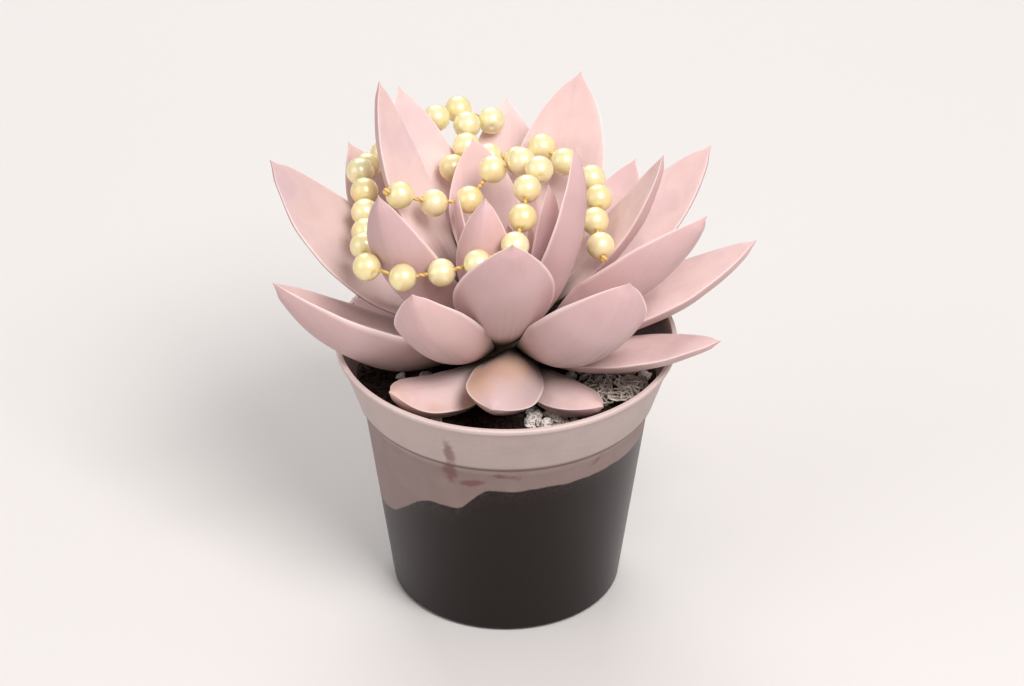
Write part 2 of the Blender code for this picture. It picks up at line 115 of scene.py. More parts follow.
def linear(code: str) -> Quad:
    """Turn an sRGB hex colour into linear RGBA.

    Args:
        code: Colour such as "#C99FA0".

    Returns:
        Red, green, blue and an alpha of one.
    """
    channels = [int(code[start : start + 2], 16) / 255.0 for start in (1, 3, 5)]
    red, green, blue = (
        value / 12.92 if value <= 0.04045 else ((value + 0.055) / 1.055) ** 2.4
        for value in channels
    )
    return red, green, blue, 1.0


def between(pair: Pair, share: float) -> float:
    """Value at a share of the way from the first to the last of a pair."""
    return pair[0] + (pair[1] - pair[0]) * share


def ramp(value: float, low: float, high: float) -> float:
    """Smooth step from nought at low to one at high."""
    share = min(max((value - low) / (high - low), 0.0), 1.0)
    return share * share * (3.0 - 2.0 * share)


def read(table: Table, share: float) -> float:
    """Read a table of (share, value) pairs along straight lines.

    Args:
        table: Pairs in rising order of share.
        share: Place to read at, from nought to one.

    Returns:
        The value there.
    """
    for (low, first), (high, last) in zip(table, table[1:]):
        if share <= high:
            return first + (last - first) * (share - low) / (high - low)
    return table[-1][1]


def heading(azimuth: float, rise: float = 0.0) -> Vector:
    """Unit vector in a direction.

    Args:
        azimuth: Degrees round +Z from +X.
        rise: Degrees above level.

    Returns:
        The vector.
    """
    turn = math.radians(azimuth)
    climb = math.radians(rise)
    flat = math.cos(climb)
    return Vector((flat * math.cos(turn), flat * math.sin(turn), math.sin(climb)))


# Objects and meshes


def link(item: Item) -> Item:
    """Put an object in the scene and return it."""
    bpy.context.scene.collection.objects.link(item)
    return item


def plain_mesh(
    name: str, places: Sequence[Any], faces: Sequence[Face], edges: Sequence[Face] = ()
) -> Mesh:
    """Make a mesh.

    Args:
        name: Name of the mesh.
        places: Vertex places in the frame.
        faces: Vertex numbers round each face.
        edges: Vertex numbers of each edge without a face.

    Returns:
        The mesh.
    """
    mesh = bpy.data.meshes.new(name)
    mesh.from_pydata(places, edges, faces)
    return mesh


def mesh_object(name: str, places: Sequence[Vector], faces: Sequence[Face], finish: Material) -> Item:
    """Make a smooth object, at the origin, from places and faces.

    Args:
        name: Name of the object and its mesh.
        places: Vertex places in the frame.
        faces: Vertex numbers round each face.
        finish: Material of the whole object.

    Returns:
        The object, with its faces pointing outwards.
    """
    mesh = plain_mesh(name, places, faces)
    cleaner = bmesh.new()
    cleaner.from_mesh(mesh)
    bmesh.ops.recalc_face_normals(cleaner, faces=cleaner.faces)
    cleaner.to_mesh(mesh)
    cleaner.free()
    mesh.shade_smooth()
    mesh.materials.append(finish)
    return link(bpy.data.objects.new(name, mesh))


def write_values(mesh: Mesh, name: str, values: Sequence[Any]) -> None:
    """Store one number or one vector for each vertex.

    Args:
        mesh: Mesh to store them on.
        name: Name that a finish or a tree reads them by.
        values: Value of each vertex.
    """
    if isinstance(values[0], Vector):
        flat = [part for value in values for part in value]
        mesh.attributes.new(name, "FLOAT_VECTOR", "POINT").data.foreach_set("vector", flat)
    else:
        mesh.attributes.new(name, "FLOAT", "POINT").data.foreach_set("value", values)


def settle_modifiers(item: Item) -> Item:
    """Turn an object and its modifiers into one plain mesh.

    Args:
        item: Object with modifiers.

    Returns:
        The same object, with the result as its mesh and no modifiers.
    """
    view = bpy.context.evaluated_depsgraph_get()
    solid = item.evaluated_get(view)
    mesh = bpy.data.meshes.new_from_object(solid, preserve_all_data_layers=True, depsgraph=view)
    item.modifiers.clear()
    item.data = mesh
    mesh.name = item.name
    return item


def closed_rings(count: int, sides: int, start: int, end: int) -> list[Face]:
    """Faces over a run of closed rings with a pole at each end.

    Args:
        count: Number of rings, whose vertices are numbered ring by ring from nought.
        sides: Vertices in each ring.
        start: Vertex number of the pole before the first ring.
        end: Vertex number of the pole after the last ring.

    Returns:
        Vertex numbers round each face.
    """
    faces: list[Face] = []
    last = (count - 1) * sides
    for side in range(sides):
        after = (side + 1) % sides
        faces.append((start, side, after))
        faces.append((last + side, end, last + after))
        for low in range(0, last, sides):
            high = low + sides
            faces.append((low + side, high + side, high + after, low + after))
    return faces


def turned(
    profile: Sequence[Pair],
    sides: int,
    lift: Callable[[float, float, float], float] = lambda x, y, z: 0.0,
) -> tuple[list[Vector], list[Face]]:
    """Turn a profile that starts and ends on the axis.

    Args:
        profile: Radius and height of each ring.
        sides: Vertices round each ring.
        lift: Rise of a place above the profile.

    Returns:
        The places and faces of the closed form.
    """
    places: list[Vector] = []
    for radius, height in profile[1:-1]:
        for side in range(sides):
            turn = 2.0 * math.pi * side / sides
            x = radius * math.cos(turn)
            y = radius * math.sin(turn)
            places.append(Vector((x, y, height + lift(x, y, height))))
    start = len(places)
    places.append(Vector((0.0, 0.0, profile[0][1])))
    places.append(Vector((0.0, 0.0, profile[-1][1])))
    return places, closed_rings(len(profile) - 2, sides, start, start + 1)


def hand_over(piece: Item, slot: Slot, *nodes: str) -> None:
    """Register a finished piece with the frame and report it.

    Args:
        piece: Finished object.
        slot: Material slot that its finish belongs to, which is not used.
        *nodes: Solids that it stands for.
    """
    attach(piece, BODY)
    if nodes:
        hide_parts(*nodes)
    LOG.info("%s: %d faces, for %s", piece.name, len(piece.data.polygons), nodes or "no node")


# Node trees


class Tree:
    """A node tree that is built node by node."""

    prefix = "ShaderNode"

    def __init__(self, tree: bpy.types.NodeTree) -> None:
        """Take a tree and empty it."""
        self.tree = tree
        tree.nodes.clear()

    def add(self, kind: str, inputs: Inputs = (), **settings: Any) -> Node:
        """Add a node, set its properties, then fill or link its inputs.

        Args:
            kind: Blender's name for the node, which may leave out the tree's prefix.
            inputs: Values by socket name, or in the order of the sockets in use. A node stands
                for its first output in use.
            **settings: Properties of the node, set before its inputs.

        Returns:
            The new node.
        """
        node = self.tree.nodes.new(kind if "Node" in kind else self.prefix + kind)
        for name, value in settings.items():
            setattr(node, name, value)
        used = [socket for socket in node.inputs if socket.enabled]
        if isinstance(inputs, dict):
            used = [next(socket for socket in used if socket.name == name) for name in inputs]
            inputs = list(inputs.values())
        for socket, value in zip(used, inputs):
            if isinstance(value, bpy.types.Node):
                value = next(output for output in value.outputs if output.enabled)
            if isinstance(value, bpy.types.NodeSocket):
                self.tree.links.new(value, socket)
            else:
                socket.default_value = value
        return node


class Shader(Tree):
    """The tree of a material, with the sources that its patterns read."""

    def __init__(self, name: str) -> None:
        """Start a material.

        Args:
            name: Name of the material.
        """
        self.material = bpy.data.materials.new(name)
        self.material.use_nodes = True
        super().__init__(self.material.node_tree)
        self.place = self.add("TexCoord").outputs["Object"]
        self.at: dict[str, Source] = {}

    def close(
        self, inputs: dict[str, Any], height: Optional[Source] = None, relief: Pair = (0.0, 0.0)
    ) -> Material:
        """End the tree in one shader.

        Args:
            inputs: The shader's inputs by name.
            height: Pattern that stands out of the surface.
            relief: Strength of that pattern, and how far it stands out.

        Returns:
            The material.
        """
        if height is not None:
            values = {"Strength": relief[0], "Distance": relief[1], "Height": height}
            inputs = {**inputs, "Normal": self.add("Bump", values)}
        self.add("OutputMaterial", (self.add("BsdfPrincipled", inputs),))
        return self.material


class Grower(Tree):
    """A Geometry Nodes tree with named inputs, and the object that it grows."""

    prefix = "GeometryNode"

    def __init__(self, name: str, inputs: dict[str, tuple[Input, Any]]) -> None:
        """Start the tree.

        Args:
            name: Name of the tree and of the piece that it grows.
            inputs: Kind and value of each named input.
        """
        super().__init__(bpy.data.node_groups.new(name, "GeometryNodeTree"))
        self.name = name
        self.values = {label: value for label, (_, value) in inputs.items()}
        sockets = self.tree.interface
        for label, (kind, _) in {"Geometry": (Input.SHAPE, None), **inputs}.items():
            sockets.new_socket(label, in_out="INPUT", socket_type=kind.value)
        sockets.new_socket("Geometry", in_out="OUTPUT", socket_type=Input.SHAPE.value)
        self.source = self.add("NodeGroupInput")

    def given(self, label: str) -> bpy.types.NodeSocket:
        """Output of the named input."""
        return self.source.outputs[label]

    def scattered(self, item: Node, turns: tuple[Triple, Triple], sizes: tuple[Triple, Triple]) -> Node:
        """Scatter copies of an item over the faces.

        Args:
            item: Node with the item.
            turns: Least and most turn round each axis.
            sizes: Least and most scale along each axis.

        Returns:
            Node with the copies as real geometry.
        """
        seed = self.given("Seed")
        area = {"Mesh": self.given("Geometry"), "Density": self.given("Density"), "Seed": seed}
        spread = self.add("DistributePointsOnFaces", area, distribute_method="RANDOM")
        turn, size = (
            self.add(
                "FunctionNodeRandomValue",
                {"Min": least, "Max": most, "Seed": seed},
                data_type="FLOAT_VECTOR",
            )
            for least, most in (turns, sizes)
        )
        places = {"Points": spread, "Instance": item, "Rotation": turn, "Scale": size}
        return self.add("RealizeInstances", (self.add("InstanceOnPoints", places),))

    def roughened(self, pieces: Node, size: float, swing: float) -> Node:
        """Shift every vertex by noise, so that no two pieces are alike.

        Args:
            pieces: Node with real geometry.
            size: Size of the noise.
            swing: Most that it moves a vertex either way.

        Returns:
            Node with the shifted geometry.
        """
        shift = self.add("ShaderNodeTexNoise", {"Scale": 1.0 / size, "Detail": 1.0}).outputs["Color"]
        middle = (0.5, 0.5, 0.5)
        centred = self.add("ShaderNodeVectorMath", (shift, middle), operation="SUBTRACT")
        moved = self.add("ShaderNodeVectorMath", (centred, 2.0 * swing), operation="SCALE")
        return self.add("SetPosition", {"Geometry": pieces, "Offset": moved})

    def grow(self, mesh: Mesh, pieces: Node, smooth: bool = True) -> Item:
        """End the tree in real, dressed faces and run it on a mesh.

        Args:
            mesh: Points, path or surface that the tree works from.
            pieces: Node whose first output is the geometry.
            smooth: Whether the faces are shaded smooth.

        Returns:
            A plain mesh object that bears the tree's name.
        """
        shaded = self.add("SetShadeSmooth", {"Geometry": pieces, "Shade Smooth": smooth})
        dressed = self.add("SetMaterial", {"Geometry": shaded, "Material": self.given("Finish")})
        self.add("NodeGroupOutput", {"Geometry": dressed})
        item = link(bpy.data.objects.new(self.name, mesh))
        modifier = item.modifiers.new(self.name, "NODES")
        modifier.node_group = self.tree
        for socket in self.tree.interface.items_tree:
            if socket.in_out == "INPUT" and socket.name in self.values:
                modifier[socket.identifier] = self.values[socket.name]
        return settle_modifiers(item)


# Finishes


@dataclass(frozen=True)
class Scuff:
    """A rubbed mark on the pot: where it is, its half width, half height and slant."""

    azimuth: float
    height: float
    half_width: float
    half_height: float
    slant: float


@dataclass(frozen=True)
class SprayedPlastic:
    """Thin wine-brown polypropylene, thermoformed and sprayed pink from above.

    The eye sees chalky pink on the band that ends in a ragged line down the body, with dark
    shiny plastic below it, drawn near black as partly painted shade, dust of overspray at the
    line and a few wine-red scrapes.
    """

    paint: str = "#BEACA8"
    paint_low: str = "#8B7773"
    # The plastic's own dark wine-brown, drawn near black as partly painted shade.
    plastic: str = "#1B100F"
    scrape: str = "#6E3A3B"
    # Painted shade under the step where the band meets the body.
    step_shade: str = "#4B2F2B"
    # Roughness of the bare plastic and of the paint.
    roughness: Pair = (0.33, 0.52)
    ior: float = 1.49
    specular: float = 0.22
    # Peel and dust of the spray, drawn coarser than the real 0.2 mm and 0.5 mm so that they show.
    peel: float = 0.45 * MM
    grit: float = 1.3 * MM
    blotch: float = 9.0 * MM
    blotch_detail: float = 1.5
    grit_detail: float = 3.0
    line_height: float = 48.5 * MM
    line_wander: float = 1.1 * MM
    line_fray: float = 0.15 * MM
    # How much lower the paint ends left of the drip, and again at the far left.
    line_falls: tuple[Quad, ...] = (
        (-13.5 * MM, -4.0 * MM, 7.5 * MM, 0.0),
        (-33.0 * MM, -19.0 * MM, 14.0 * MM, 0.0),
    )
    covered_by: Pair = (-0.25 * MM, 0.35 * MM)
    # How far from the step the painted shade reaches, and how dark it is.
    step_shade_by: Quad = (0.2 * MM, 1.5 * MM, 0.8, 0.0)
    thick_by: Pair = (53.0 * MM, 57.0 * MM)
    cloud: Pair = (0.5, -0.25)
    speck_by: Quad = (0.3, 0.7, 0.97, 1.02)
    # Painted highlight: the paint is drawn brighter towards the top edge of the lip.
    lip_highlight_by: Quad = (70.6 * MM, 72.0 * MM, 1.0, 1.3)
    overspray_by: Quad = (-6.0 * MM, 0.0, 0.0, 0.07)
    dust_by: Pair = (0.3, 0.75)
    wear_share: float = 3.0
    wear_by: Quad = (2.2, 3.2, 0.6, 0.0)
    coat_share: float = 1.5
    relief: Pair = (0.35, 0.06 * MM)
    scuffs: tuple[Scuff, ...] = (
        Scuff(248.8, 61.5 * MM, 1.7 * MM, 6.8 * MM, 0.06),
        Scuff(247.4, 52.5 * MM, 2.0 * MM, 6.6 * MM, -0.1),
        Scuff(256.0, 50.5 * MM, 4.2 * MM, 1.0 * MM, 0.2),
        Scuff(268.0, 53.4 * MM, 4.6 * MM, 0.8 * MM, -0.15),
        Scuff(309.0, 53.0 * MM, 3.2 * MM, 1.2 * MM, 0.45),
        Scuff(75.0, 64.0 * MM, 1.2 * MM, 3.0 * MM, -0.4),
        Scuff(152.0, 61.0 * MM, 2.6 * MM, 0.7 * MM, 0.2),
    )

    def material(self, step_height: float) -> Material:
        """Build the finish.

        Args:
            step_height: Height of the line of painted shade under the step where the band meets the
                body.

        Returns:
            The material.
        """
        shader = Shader("wine_polypropylene_sprayed_pink")
        add = shader.add
        shader.at["across"], _, height = add("SeparateXYZ", (shader.place,)).outputs
        shader.at["height"] = height
        shader.at["fine"] = add("TexNoise", (shader.place, 1.0 / self.grit, self.grit_detail))
        shader.at["broad"] = add("TexNoise", (shader.place, 1.0 / self.blotch, self.blotch_detail))
        shader.at["edge"] = self.paint_edge(shader)
        covered = add("MapRange", (shader.at["edge"], *self.covered_by), **SOFT)
        body = add("Mix", (covered, self.dusted(shader), self.painted(shader)), **TINT)
        # Painted shade: a dark line just under the step.
        near = add("Math", (height, step_height), operation="SUBTRACT")
        far = add("Math", (near,), operation="ABSOLUTE")
        line = add("MapRange", (far, *self.step_shade_by), **SOFT)
        lined = add("Mix", (line, body, linear(self.step_shade)), **TINT)
        worn = add("Mix", (self.scraped(shader), lined, linear(self.scrape)), **TINT)
        rough = add("MapRange", (covered, 0.0, 1.0, *self.roughness))
        peel = add("TexNoise", (shader.place, 1.0 / self.peel, DETAIL))
        thick = add("Math", (covered, self.coat_share, peel), operation="MULTIPLY_ADD")
        gloss = {"Roughness": rough, "IOR": self.ior, "Specular IOR Level": self.specular}
        return shader.close({"Base Color": worn, **gloss}, thick, self.relief)

    def paint_edge(self, shader: Shader) -> Source:
        """Height above the ragged end of the paint.

        Args:
            shader: Tree to build in.

        Returns:
            Source that is positive where the paint covers.
        """
        add = shader.add
        level = add("Math", (shader.at["height"], self.line_height), operation="SUBTRACT")
        for fall in self.line_falls:
            lower = add("MapRange", (shader.at["across"], *fall), **SOFT)
            level = add("Math", (level, lower), operation="ADD")
        for name, size in (("broad", self.line_wander), ("fine", self.line_fray)):
            swing = add("Math", (shader.at[name], 2.0 * size, -size), operation="MULTIPLY_ADD")
            level = add("Math", (level, swing), operation="ADD")
        return level

    def painted(self, shader: Shader) -> Source:
        """Colour of the paint: duller down the body, slightly cloudy, and brightened at the lip as a
        painted highlight.

        Args:
            shader: Tree to build in.

        Returns:
            The colour.
        """
        add = shader.add
        low = add("MapRange", (shader.at["height"], *self.thick_by), **SOFT)
        cloud = add("Math", (shader.at["broad"], *self.cloud), operation="MULTIPLY_ADD")
        cover = add("Math", (low, cloud), operation="ADD", use_clamp=True)
        colour = add("Mix", (cover, linear(self.paint_low), linear(self.paint)), **TINT)
        speck = add("MapRange", (shader.at["fine"], *self.speck_by))
        # Painted highlight along the lip.
        lip = add("MapRange", (shader.at["height"], *self.lip_highlight_by), **SOFT)
        bright = add("Math", (speck, lip), operation="MULTIPLY")
        return add("VectorMath", (colour, bright), operation="SCALE")

    def dusted(self, shader: Shader) -> Source:
        """Colour of the bare plastic, drawn darker as partly painted shade, with overspray dust that
        fades below the line.

        Args:
            shader: Tree to build in.

        Returns:
            The colour.
        """
        add = shader.add
        near = add("MapRange", (shader.at["edge"], *self.overspray_by), **SOFT)
        spots = add("MapRange", (shader.at["fine"], *self.dust_by), **SOFT)
        dust = add("Math", (near, spots), operation="MULTIPLY")
        return add("Mix", (dust, linear(self.plastic), linear(self.paint_low)), **TINT)

    def scraped(self, shader: Shader) -> Source:
        """How far each place is scraped.

        Args:
            shader: Tree to build in.

        Returns:
            Share from nought to one.
        """
        add = shader.add
        mix = (shader.at["broad"], self.wear_share, shader.at["fine"])
        uneven = add("Math", mix, operation="MULTIPLY_ADD")
        mark: Any = 0.0
        for scuff in self.scuffs:
            out = heading(scuff.azimuth)
            sideways = Vector((-out.y, out.x, scuff.slant)) / scuff.half_width
            upward = Vector((out.y * scuff.slant, -out.x * scuff.slant, 1.0)) / scuff.half_height
            middle = (0.0, 0.0, scuff.height)
            centred = add("VectorMath", (shader.place, middle), operation="SUBTRACT")
            wide, tall, front = (
                add("VectorMath", (centred, axis), operation="DOT_PRODUCT")
                for axis in (sideways, upward, out)
            )
            spread = add("CombineXYZ", (wide, tall))
            away = add("VectorMath", (spread,), operation="LENGTH")
            ragged = add("Math", (uneven, away), operation="ADD")
            shown = add("MapRange", (ragged, *self.wear_by), **SOFT)
            outside = add("Math", (front, 0.0), operation="GREATER_THAN")
            kept = add("Math", (shown, outside), operation="MULTIPLY")
            mark = add("Math", (kept, mark), operation="MAXIMUM")
        return mark


@dataclass(frozen=True)
class PottingSoil:
    """Damp peat and bark mix, crumbled and dusted with spray at its surface.

    The eye sees near-black brown crumbs with dull tops, some of them greyed pink.
    """

    dark: str = "#1E1612"
    brown: str = "#3F2D24"
    dust: str = "#A08781"
    crumb: float = 1.6 * MM
    crumb_detail: Pair = (6.0, 0.65)
    patch: float = 12.0 * MM
    brown_by: Pair = (0.35, 0.7)
    dust_by: Quad = (0.48, 0.66, 0.0, 0.5)
    top_from: float = 0.5
    roughness: float = 0.92
    specular: float = 0.25
    relief: Pair = (0.9, 0.5 * MM)

    def material(self) -> Material:
        """Build the finish.

        Returns:
            The material.
        """
        shader = Shader("damp_potting_peat")
        add = shader.add
        grain = add("TexNoise", (shader.place, 1.0 / self.crumb, *self.crumb_detail))
        patch = add("TexNoise", (shader.place, 1.0 / self.patch, DETAIL))
        mix = add("MapRange", (grain, *self.brown_by), **SOFT)
        earth = add("Mix", (mix, linear(self.dark), linear(self.brown)), **TINT)
        facing = add("NewGeometry").outputs["Normal"]
        upward = add("SeparateXYZ", (facing,)).outputs["Z"]
        top = add("MapRange", (upward, self.top_from))
        lit = add("MapRange", (patch, *self.dust_by), **SOFT)
        sprayed = add("Math", (top, lit), operation="MULTIPLY")
        dusty = add("Math", (sprayed, grain), operation="MULTIPLY")
        colour = add("Mix", (dusty, earth, linear(self.dust)), **TINT)
        gloss = {"Roughness": self.roughness, "Specular IOR Level": self.specular}
        return shader.close({"Base Color": colour, **gloss}, grain, self.relief)


@dataclass(frozen=True)
class Perlite:
    """Expanded volcanic glass, which the eye sees as chalk-white grains with shaded pits."""

    white: str = "#F7F0EA"
    shade: str = "#B8A8A0"
    pit: float = 0.7 * MM
    pit_by: Pair = (0.1, 0.55)
    roughness: float = 0.8
    relief: Pair = (0.8, 0.25 * MM)

    def material(self) -> Material:
        """Build the finish.

        Returns:
            The material.
        """
        shader = Shader("expanded_perlite")
        pits = shader.add("TexVoronoi", (shader.place, 1.0 / self.pit))
        depth = shader.add("MapRange", (pits, *self.pit_by), **SOFT)
        colour = shader.add("Mix", (depth, linear(self.shade), linear(self.white)), **TINT)
        return shader.close({"Base Color": colour, "Roughness": self.roughness}, depth, self.relief)


@dataclass(frozen=True)
class DryFibre:
    """Dry moss and root fibre, which the eye sees as bleached curls with a slight gloss."""

    pale: str = "#F3E9E1"
    dull: str = "#B5A398"
    change: float = 2.5 * MM
    change_by: Pair = (0.35, 0.65)
    roughness: float = 0.45

    def material(self) -> Material:
        """Build the finish.

        Returns:
            The material.
        """
        shader = Shader("dry_moss_fibre")
        shift = shader.add("TexNoise", (shader.place, 1.0 / self.change, DETAIL))
        spread = shader.add("MapRange", (shift, *self.change_by))
        colour = shader.add("Mix", (spread, linear(self.dull), linear(self.pale)), **TINT)
        return shader.close({"Base Color": colour, "Roughness": self.roughness})


@dataclass(frozen=True)
class StemTissue:
    """Corky plant stem, which the eye sees as dull brown with paler rings of old leaf scars."""

    bark: str = "#4A3B2A"
    scar: str = "#8B7563"
    ring: float = 28.0 * MM
    ring_waver: Pair = (3.0, 2.0)
    grain: float = 1.1 * MM
    grain_detail: float = 5.0
    roughness: float = 0.8
    relief: Pair = (0.7, 0.4 * MM)

    def material(self) -> Material:
        """Build the finish.

        Returns:
            The material.
        """
        shader = Shader("corky_succulent_stem")
        add = shader.add
        rough = add("TexNoise", (shader.place, 1.0 / self.grain, self.grain_detail))
        wave = (shader.place, 1.0 / self.ring, *self.ring_waver)
        rings = add("TexWave", wave, bands_direction="Z")
        mix = add("Math", (rings, rough), operation="MULTIPLY")
        colour = add("Mix", (mix, linear(self.bark), linear(self.scar)), **TINT)
        return shader.close({"Base Color": colour, "Roughness": self.roughness}, mix, self.relief)


@dataclass(frozen=True)
class SprayedLeaf:
    """Fleshy succulent leaf under one thin satin coat of pink, sprayed from above.

    The eye sees dusty mauve pink, lighter on the inner faces, grey-green flesh through it at the
    roots and on what faces down, and faint streaks along the leaf. A pale line along the edges
    is a painted highlight, and the dark of the crevices at the roots is painted shade.
    """

    outer: str = "#D2B3B2"
    inner: str = "#EFD5D2"
    # Painted highlight along both edges.
    edge: str = "#FCEDE9"
    flesh: str = "#938575"
    # Painted shade in the crevices where the leaves meet the stem.
    root: str = "#3A2D22"
    worn: str = "#D2AD94"
    blush: str = "#DFABAD"
    cool: str = "#C9B0BA"
    # Roughness where the clouds are darkest and palest.
    roughness: Pair = (0.4, 0.62)
    ior: float = 1.45
    flesh_weight: float = 0.14
    flesh_radius: Triple = (1.0, 0.6, 0.52)
    flesh_depth: float = 1.6 * MM
    # Peel of the spray, drawn coarser than the real 0.2 mm so that it shows.
    peel: float = 0.4 * MM
    streak: float = 1.3 * MM
    streak_length: float = 24.0 * MM
    streak_detail: float = 4.0
    cloud: float = 14.0 * MM
    cloud_detail: float = 3.0
    cool_by: Quad = (0.46, 0.68, 0.0, 0.5)
    blush_by: Quad = (0.35, 1.0, 0.0, 0.42)
    cloud_shade: Pair = (0.34, 0.81)
    streak_shade: Pair = (0.1, -0.05)
    below_by: Quad = (-0.95, -0.3, 0.7, 0.0)
    rooted_by: Quad = (0.1, 0.42, 0.85, 0.0)
    # How far up each leaf the painted shade of the root crevice reaches.
    crevice_shade_by: Quad = (0.06, 0.31, 0.94, 0.0)
    rubbed_by: Pair = (0.44, 0.62)
    broken_by: Pair = (0.3, 0.6)
    # Where across the leaf the painted edge highlight lies, and how it grows up the leaf.
    edge_highlight_by: Pair = (0.93, 0.995)
    edge_highlight_rise: Quad = (0.2, 0.55, 0.0, 0.55)
    streak_relief: float = 1.6
    relief: Pair = (0.3, 0.12 * MM)

    def material(self) -> Material:
        """Build the finish.

        Returns:
            The material.
        """
        shader = Shader("satin_spray_on_succulent_leaf")
        add = shader.add
        at = shader.at
        for name in ("along", "across", "upper", "bare", "tone"):
            at[name] = add("Attribute", attribute_name=name).outputs["Fac"]
        lay = add("Attribute", attribute_name="lay").outputs["Vector"]
        at["clouds"] = add("TexNoise", (lay, 1.0 / self.cloud, self.cloud_detail))
        stretch = (1.0 / self.streak, 1.0 / self.streak_length, 1.0 / self.cloud)
        drawn = add("VectorMath", (lay, stretch), operation="MULTIPLY")
        at["streaks"] = add("TexNoise", (drawn, 1.0, self.streak_detail))
        colour = self.painted_edge_highlights(shader, self.thinned(shader, self.coat(shader)))
        peel = add("TexNoise", (shader.place, 1.0 / self.peel, DETAIL))
        height = add("Math", (at["streaks"], self.streak_relief, peel), operation="MULTIPLY_ADD")
        look = {
            "Base Color": colour,
            "Roughness": add("MapRange", (at["clouds"], 0.0, 1.0, *self.roughness)),
            "IOR": self.ior,
            "Subsurface Weight": self.flesh_weight,
            "Subsurface Radius": self.flesh_radius,
            "Subsurface Scale": self.flesh_depth,
        }
        return shader.close(look, height, self.relief)

    def coat(self, shader: Shader) -> Source:
        """Colour of the full coat: both faces, cool patches, blush at the tip, clouds, and each leaf's
        tone, which is partly painted light and shade.

        Args:
            shader: Tree to build in.

        Returns:
            The colour.
        """
        add = shader.add
        at = shader.at
        faces = add("Mix", (at["upper"], linear(self.outer), linear(self.inner)), **TINT)
        patch = add("MapRange", (at["clouds"], *self.cool_by), **SOFT)
        cooled = add("Mix", (patch, faces, linear(self.cool)), **TINT)
        high = add("MapRange", (at["along"], *self.blush_by), **SOFT)
        warm = add("Math", (1.0, at["clouds"]), operation="SUBTRACT")
        flush = add("Math", (high, warm), operation="MULTIPLY")
        blushed = add("Mix", (flush, cooled, linear(self.blush)), **TINT)
        swing = add("Math", (at["clouds"], *self.cloud_shade), operation="MULTIPLY_ADD")
        lines = add("Math", (at["streaks"], *self.streak_shade), operation="MULTIPLY_ADD")
        both = add("Math", (swing, lines), operation="ADD")
        # Each leaf's tone is partly painted light and shade.
        shade = add("Math", (both, at["tone"]), operation="MULTIPLY")
        return add("VectorMath", (blushed, shade), operation="SCALE")

    def thinned(self, shader: Shader, colour: Source) -> Source:
        """Show flesh through the coat at the root, on what faces down, and where it is rubbed, and
        paint shade into the crevice at each root.

        Args:
            shader: Tree to build in.
            colour: Colour of the full coat.

        Returns:
            The colour of the thinned coat.
        """
        add = shader.add
        at = shader.at
        facing = add("NewGeometry").outputs["Normal"]
        upward = add("SeparateXYZ", (facing,)).outputs["Z"]
        below = add("MapRange", (upward, *self.below_by), **SOFT)
        rooted = add("MapRange", (at["along"], *self.rooted_by), **SOFT)
        thin = add("Math", (below, rooted), operation="MAXIMUM")
        broken = add("MapRange", (at["streaks"], *self.broken_by))
        patchy = add("Math", (thin, broken), operation="MULTIPLY")
        rubbed = add("MapRange", (at["clouds"], *self.rubbed_by), **SOFT)
        spot = add("Math", (rubbed, at["bare"]), operation="MULTIPLY")
        # Painted shade: the root colour darkens the crevice at the root of each leaf.
        sunk = add("MapRange", (at["along"], *self.crevice_shade_by), **SOFT)
        for share, code in ((patchy, self.flesh), (spot, self.worn), (sunk, self.root)):
            colour = add("Mix", (share, colour, linear(code)), **TINT)
        return colour

    def painted_edge_highlights(self, shader: Shader, colour: Source) -> Source:
        """Paint a highlight as a pale line along both edges.

        Args:
            shader: Tree to build in.
            colour: Colour of the thinned coat.

        Returns:
            The finished colour.
        """
        add = shader.add
        outward = add("Math", (shader.at["across"],), operation="ABSOLUTE")
        # Painted highlight: a pale line along each edge, which fades out towards the root.
        line = add("MapRange", (outward, *self.edge_highlight_by), **SOFT)
        rising = add("MapRange", (shader.at["along"], *self.edge_highlight_rise), **SOFT)
        kept = add("Math", (line, rising), operation="MULTIPLY")
        return add("Mix", (kept, colour, linear(self.edge)), **TINT)


@dataclass(frozen=True)
class CreamPearl:
    """Moulded acrylic bead dipped in pearl essence.

    The eye sees a creamy yellow depth under a clear glossy skin, each bead a little its own.
    """

    cream: str = "#F5F0DC"
    warm: str = "#EDDFB6"
    mottle: float = 5.0 * MM
    mottle_detail: float = 1.0
    mottle_share: float = 0.6
    essence: float = 0.3
    roughness: float = 0.36
    ior: float = 1.53
    depth_weight: float = 0.8
    depth_radius: Triple = (1.0, 0.85, 0.5)
    depth: float = 3.2 * MM
    coat: float = 0.9
    coat_roughness: float = 0.12
    coat_ior: float = 1.5
    coat_tint: str = "#FFFBE0"
    sheen: float = 0.15
    sheen_roughness: float = 0.3
    sheen_tint: str = "#FFF3D0"

    def material(self) -> Material:
        """Build the finish.

        Returns:
            The material.
        """
        shader = Shader("pearl_dipped_bead")
        add = shader.add
        tone = add("Attribute", attribute_name="tone").outputs["Fac"]
        mottle = add("TexNoise", (shader.place, 1.0 / self.mottle, self.mottle_detail))
        blend = add("Math", (mottle, self.mottle_share, tone), operation="MULTIPLY_ADD")
        look = {
            "Base Color": add("Mix", (blend, linear(self.cream), linear(self.warm)), **TINT),
            "Metallic": self.essence,
            "Roughness": self.roughness,
            "IOR": self.ior,
            "Subsurface Weight": self.depth_weight,
            "Subsurface Radius": self.depth_radius,
            "Subsurface Scale": self.depth,
            "Coat Weight": self.coat,
            "Coat Roughness": self.coat_roughness,
            "Coat IOR": self.coat_ior,
            "Coat Tint": linear(self.coat_tint),
            "Sheen Weight": self.sheen,
            "Sheen Roughness": self.sheen_roughness,
            "Sheen Tint": linear(self.sheen_tint),
        }
        return shader.close(look)


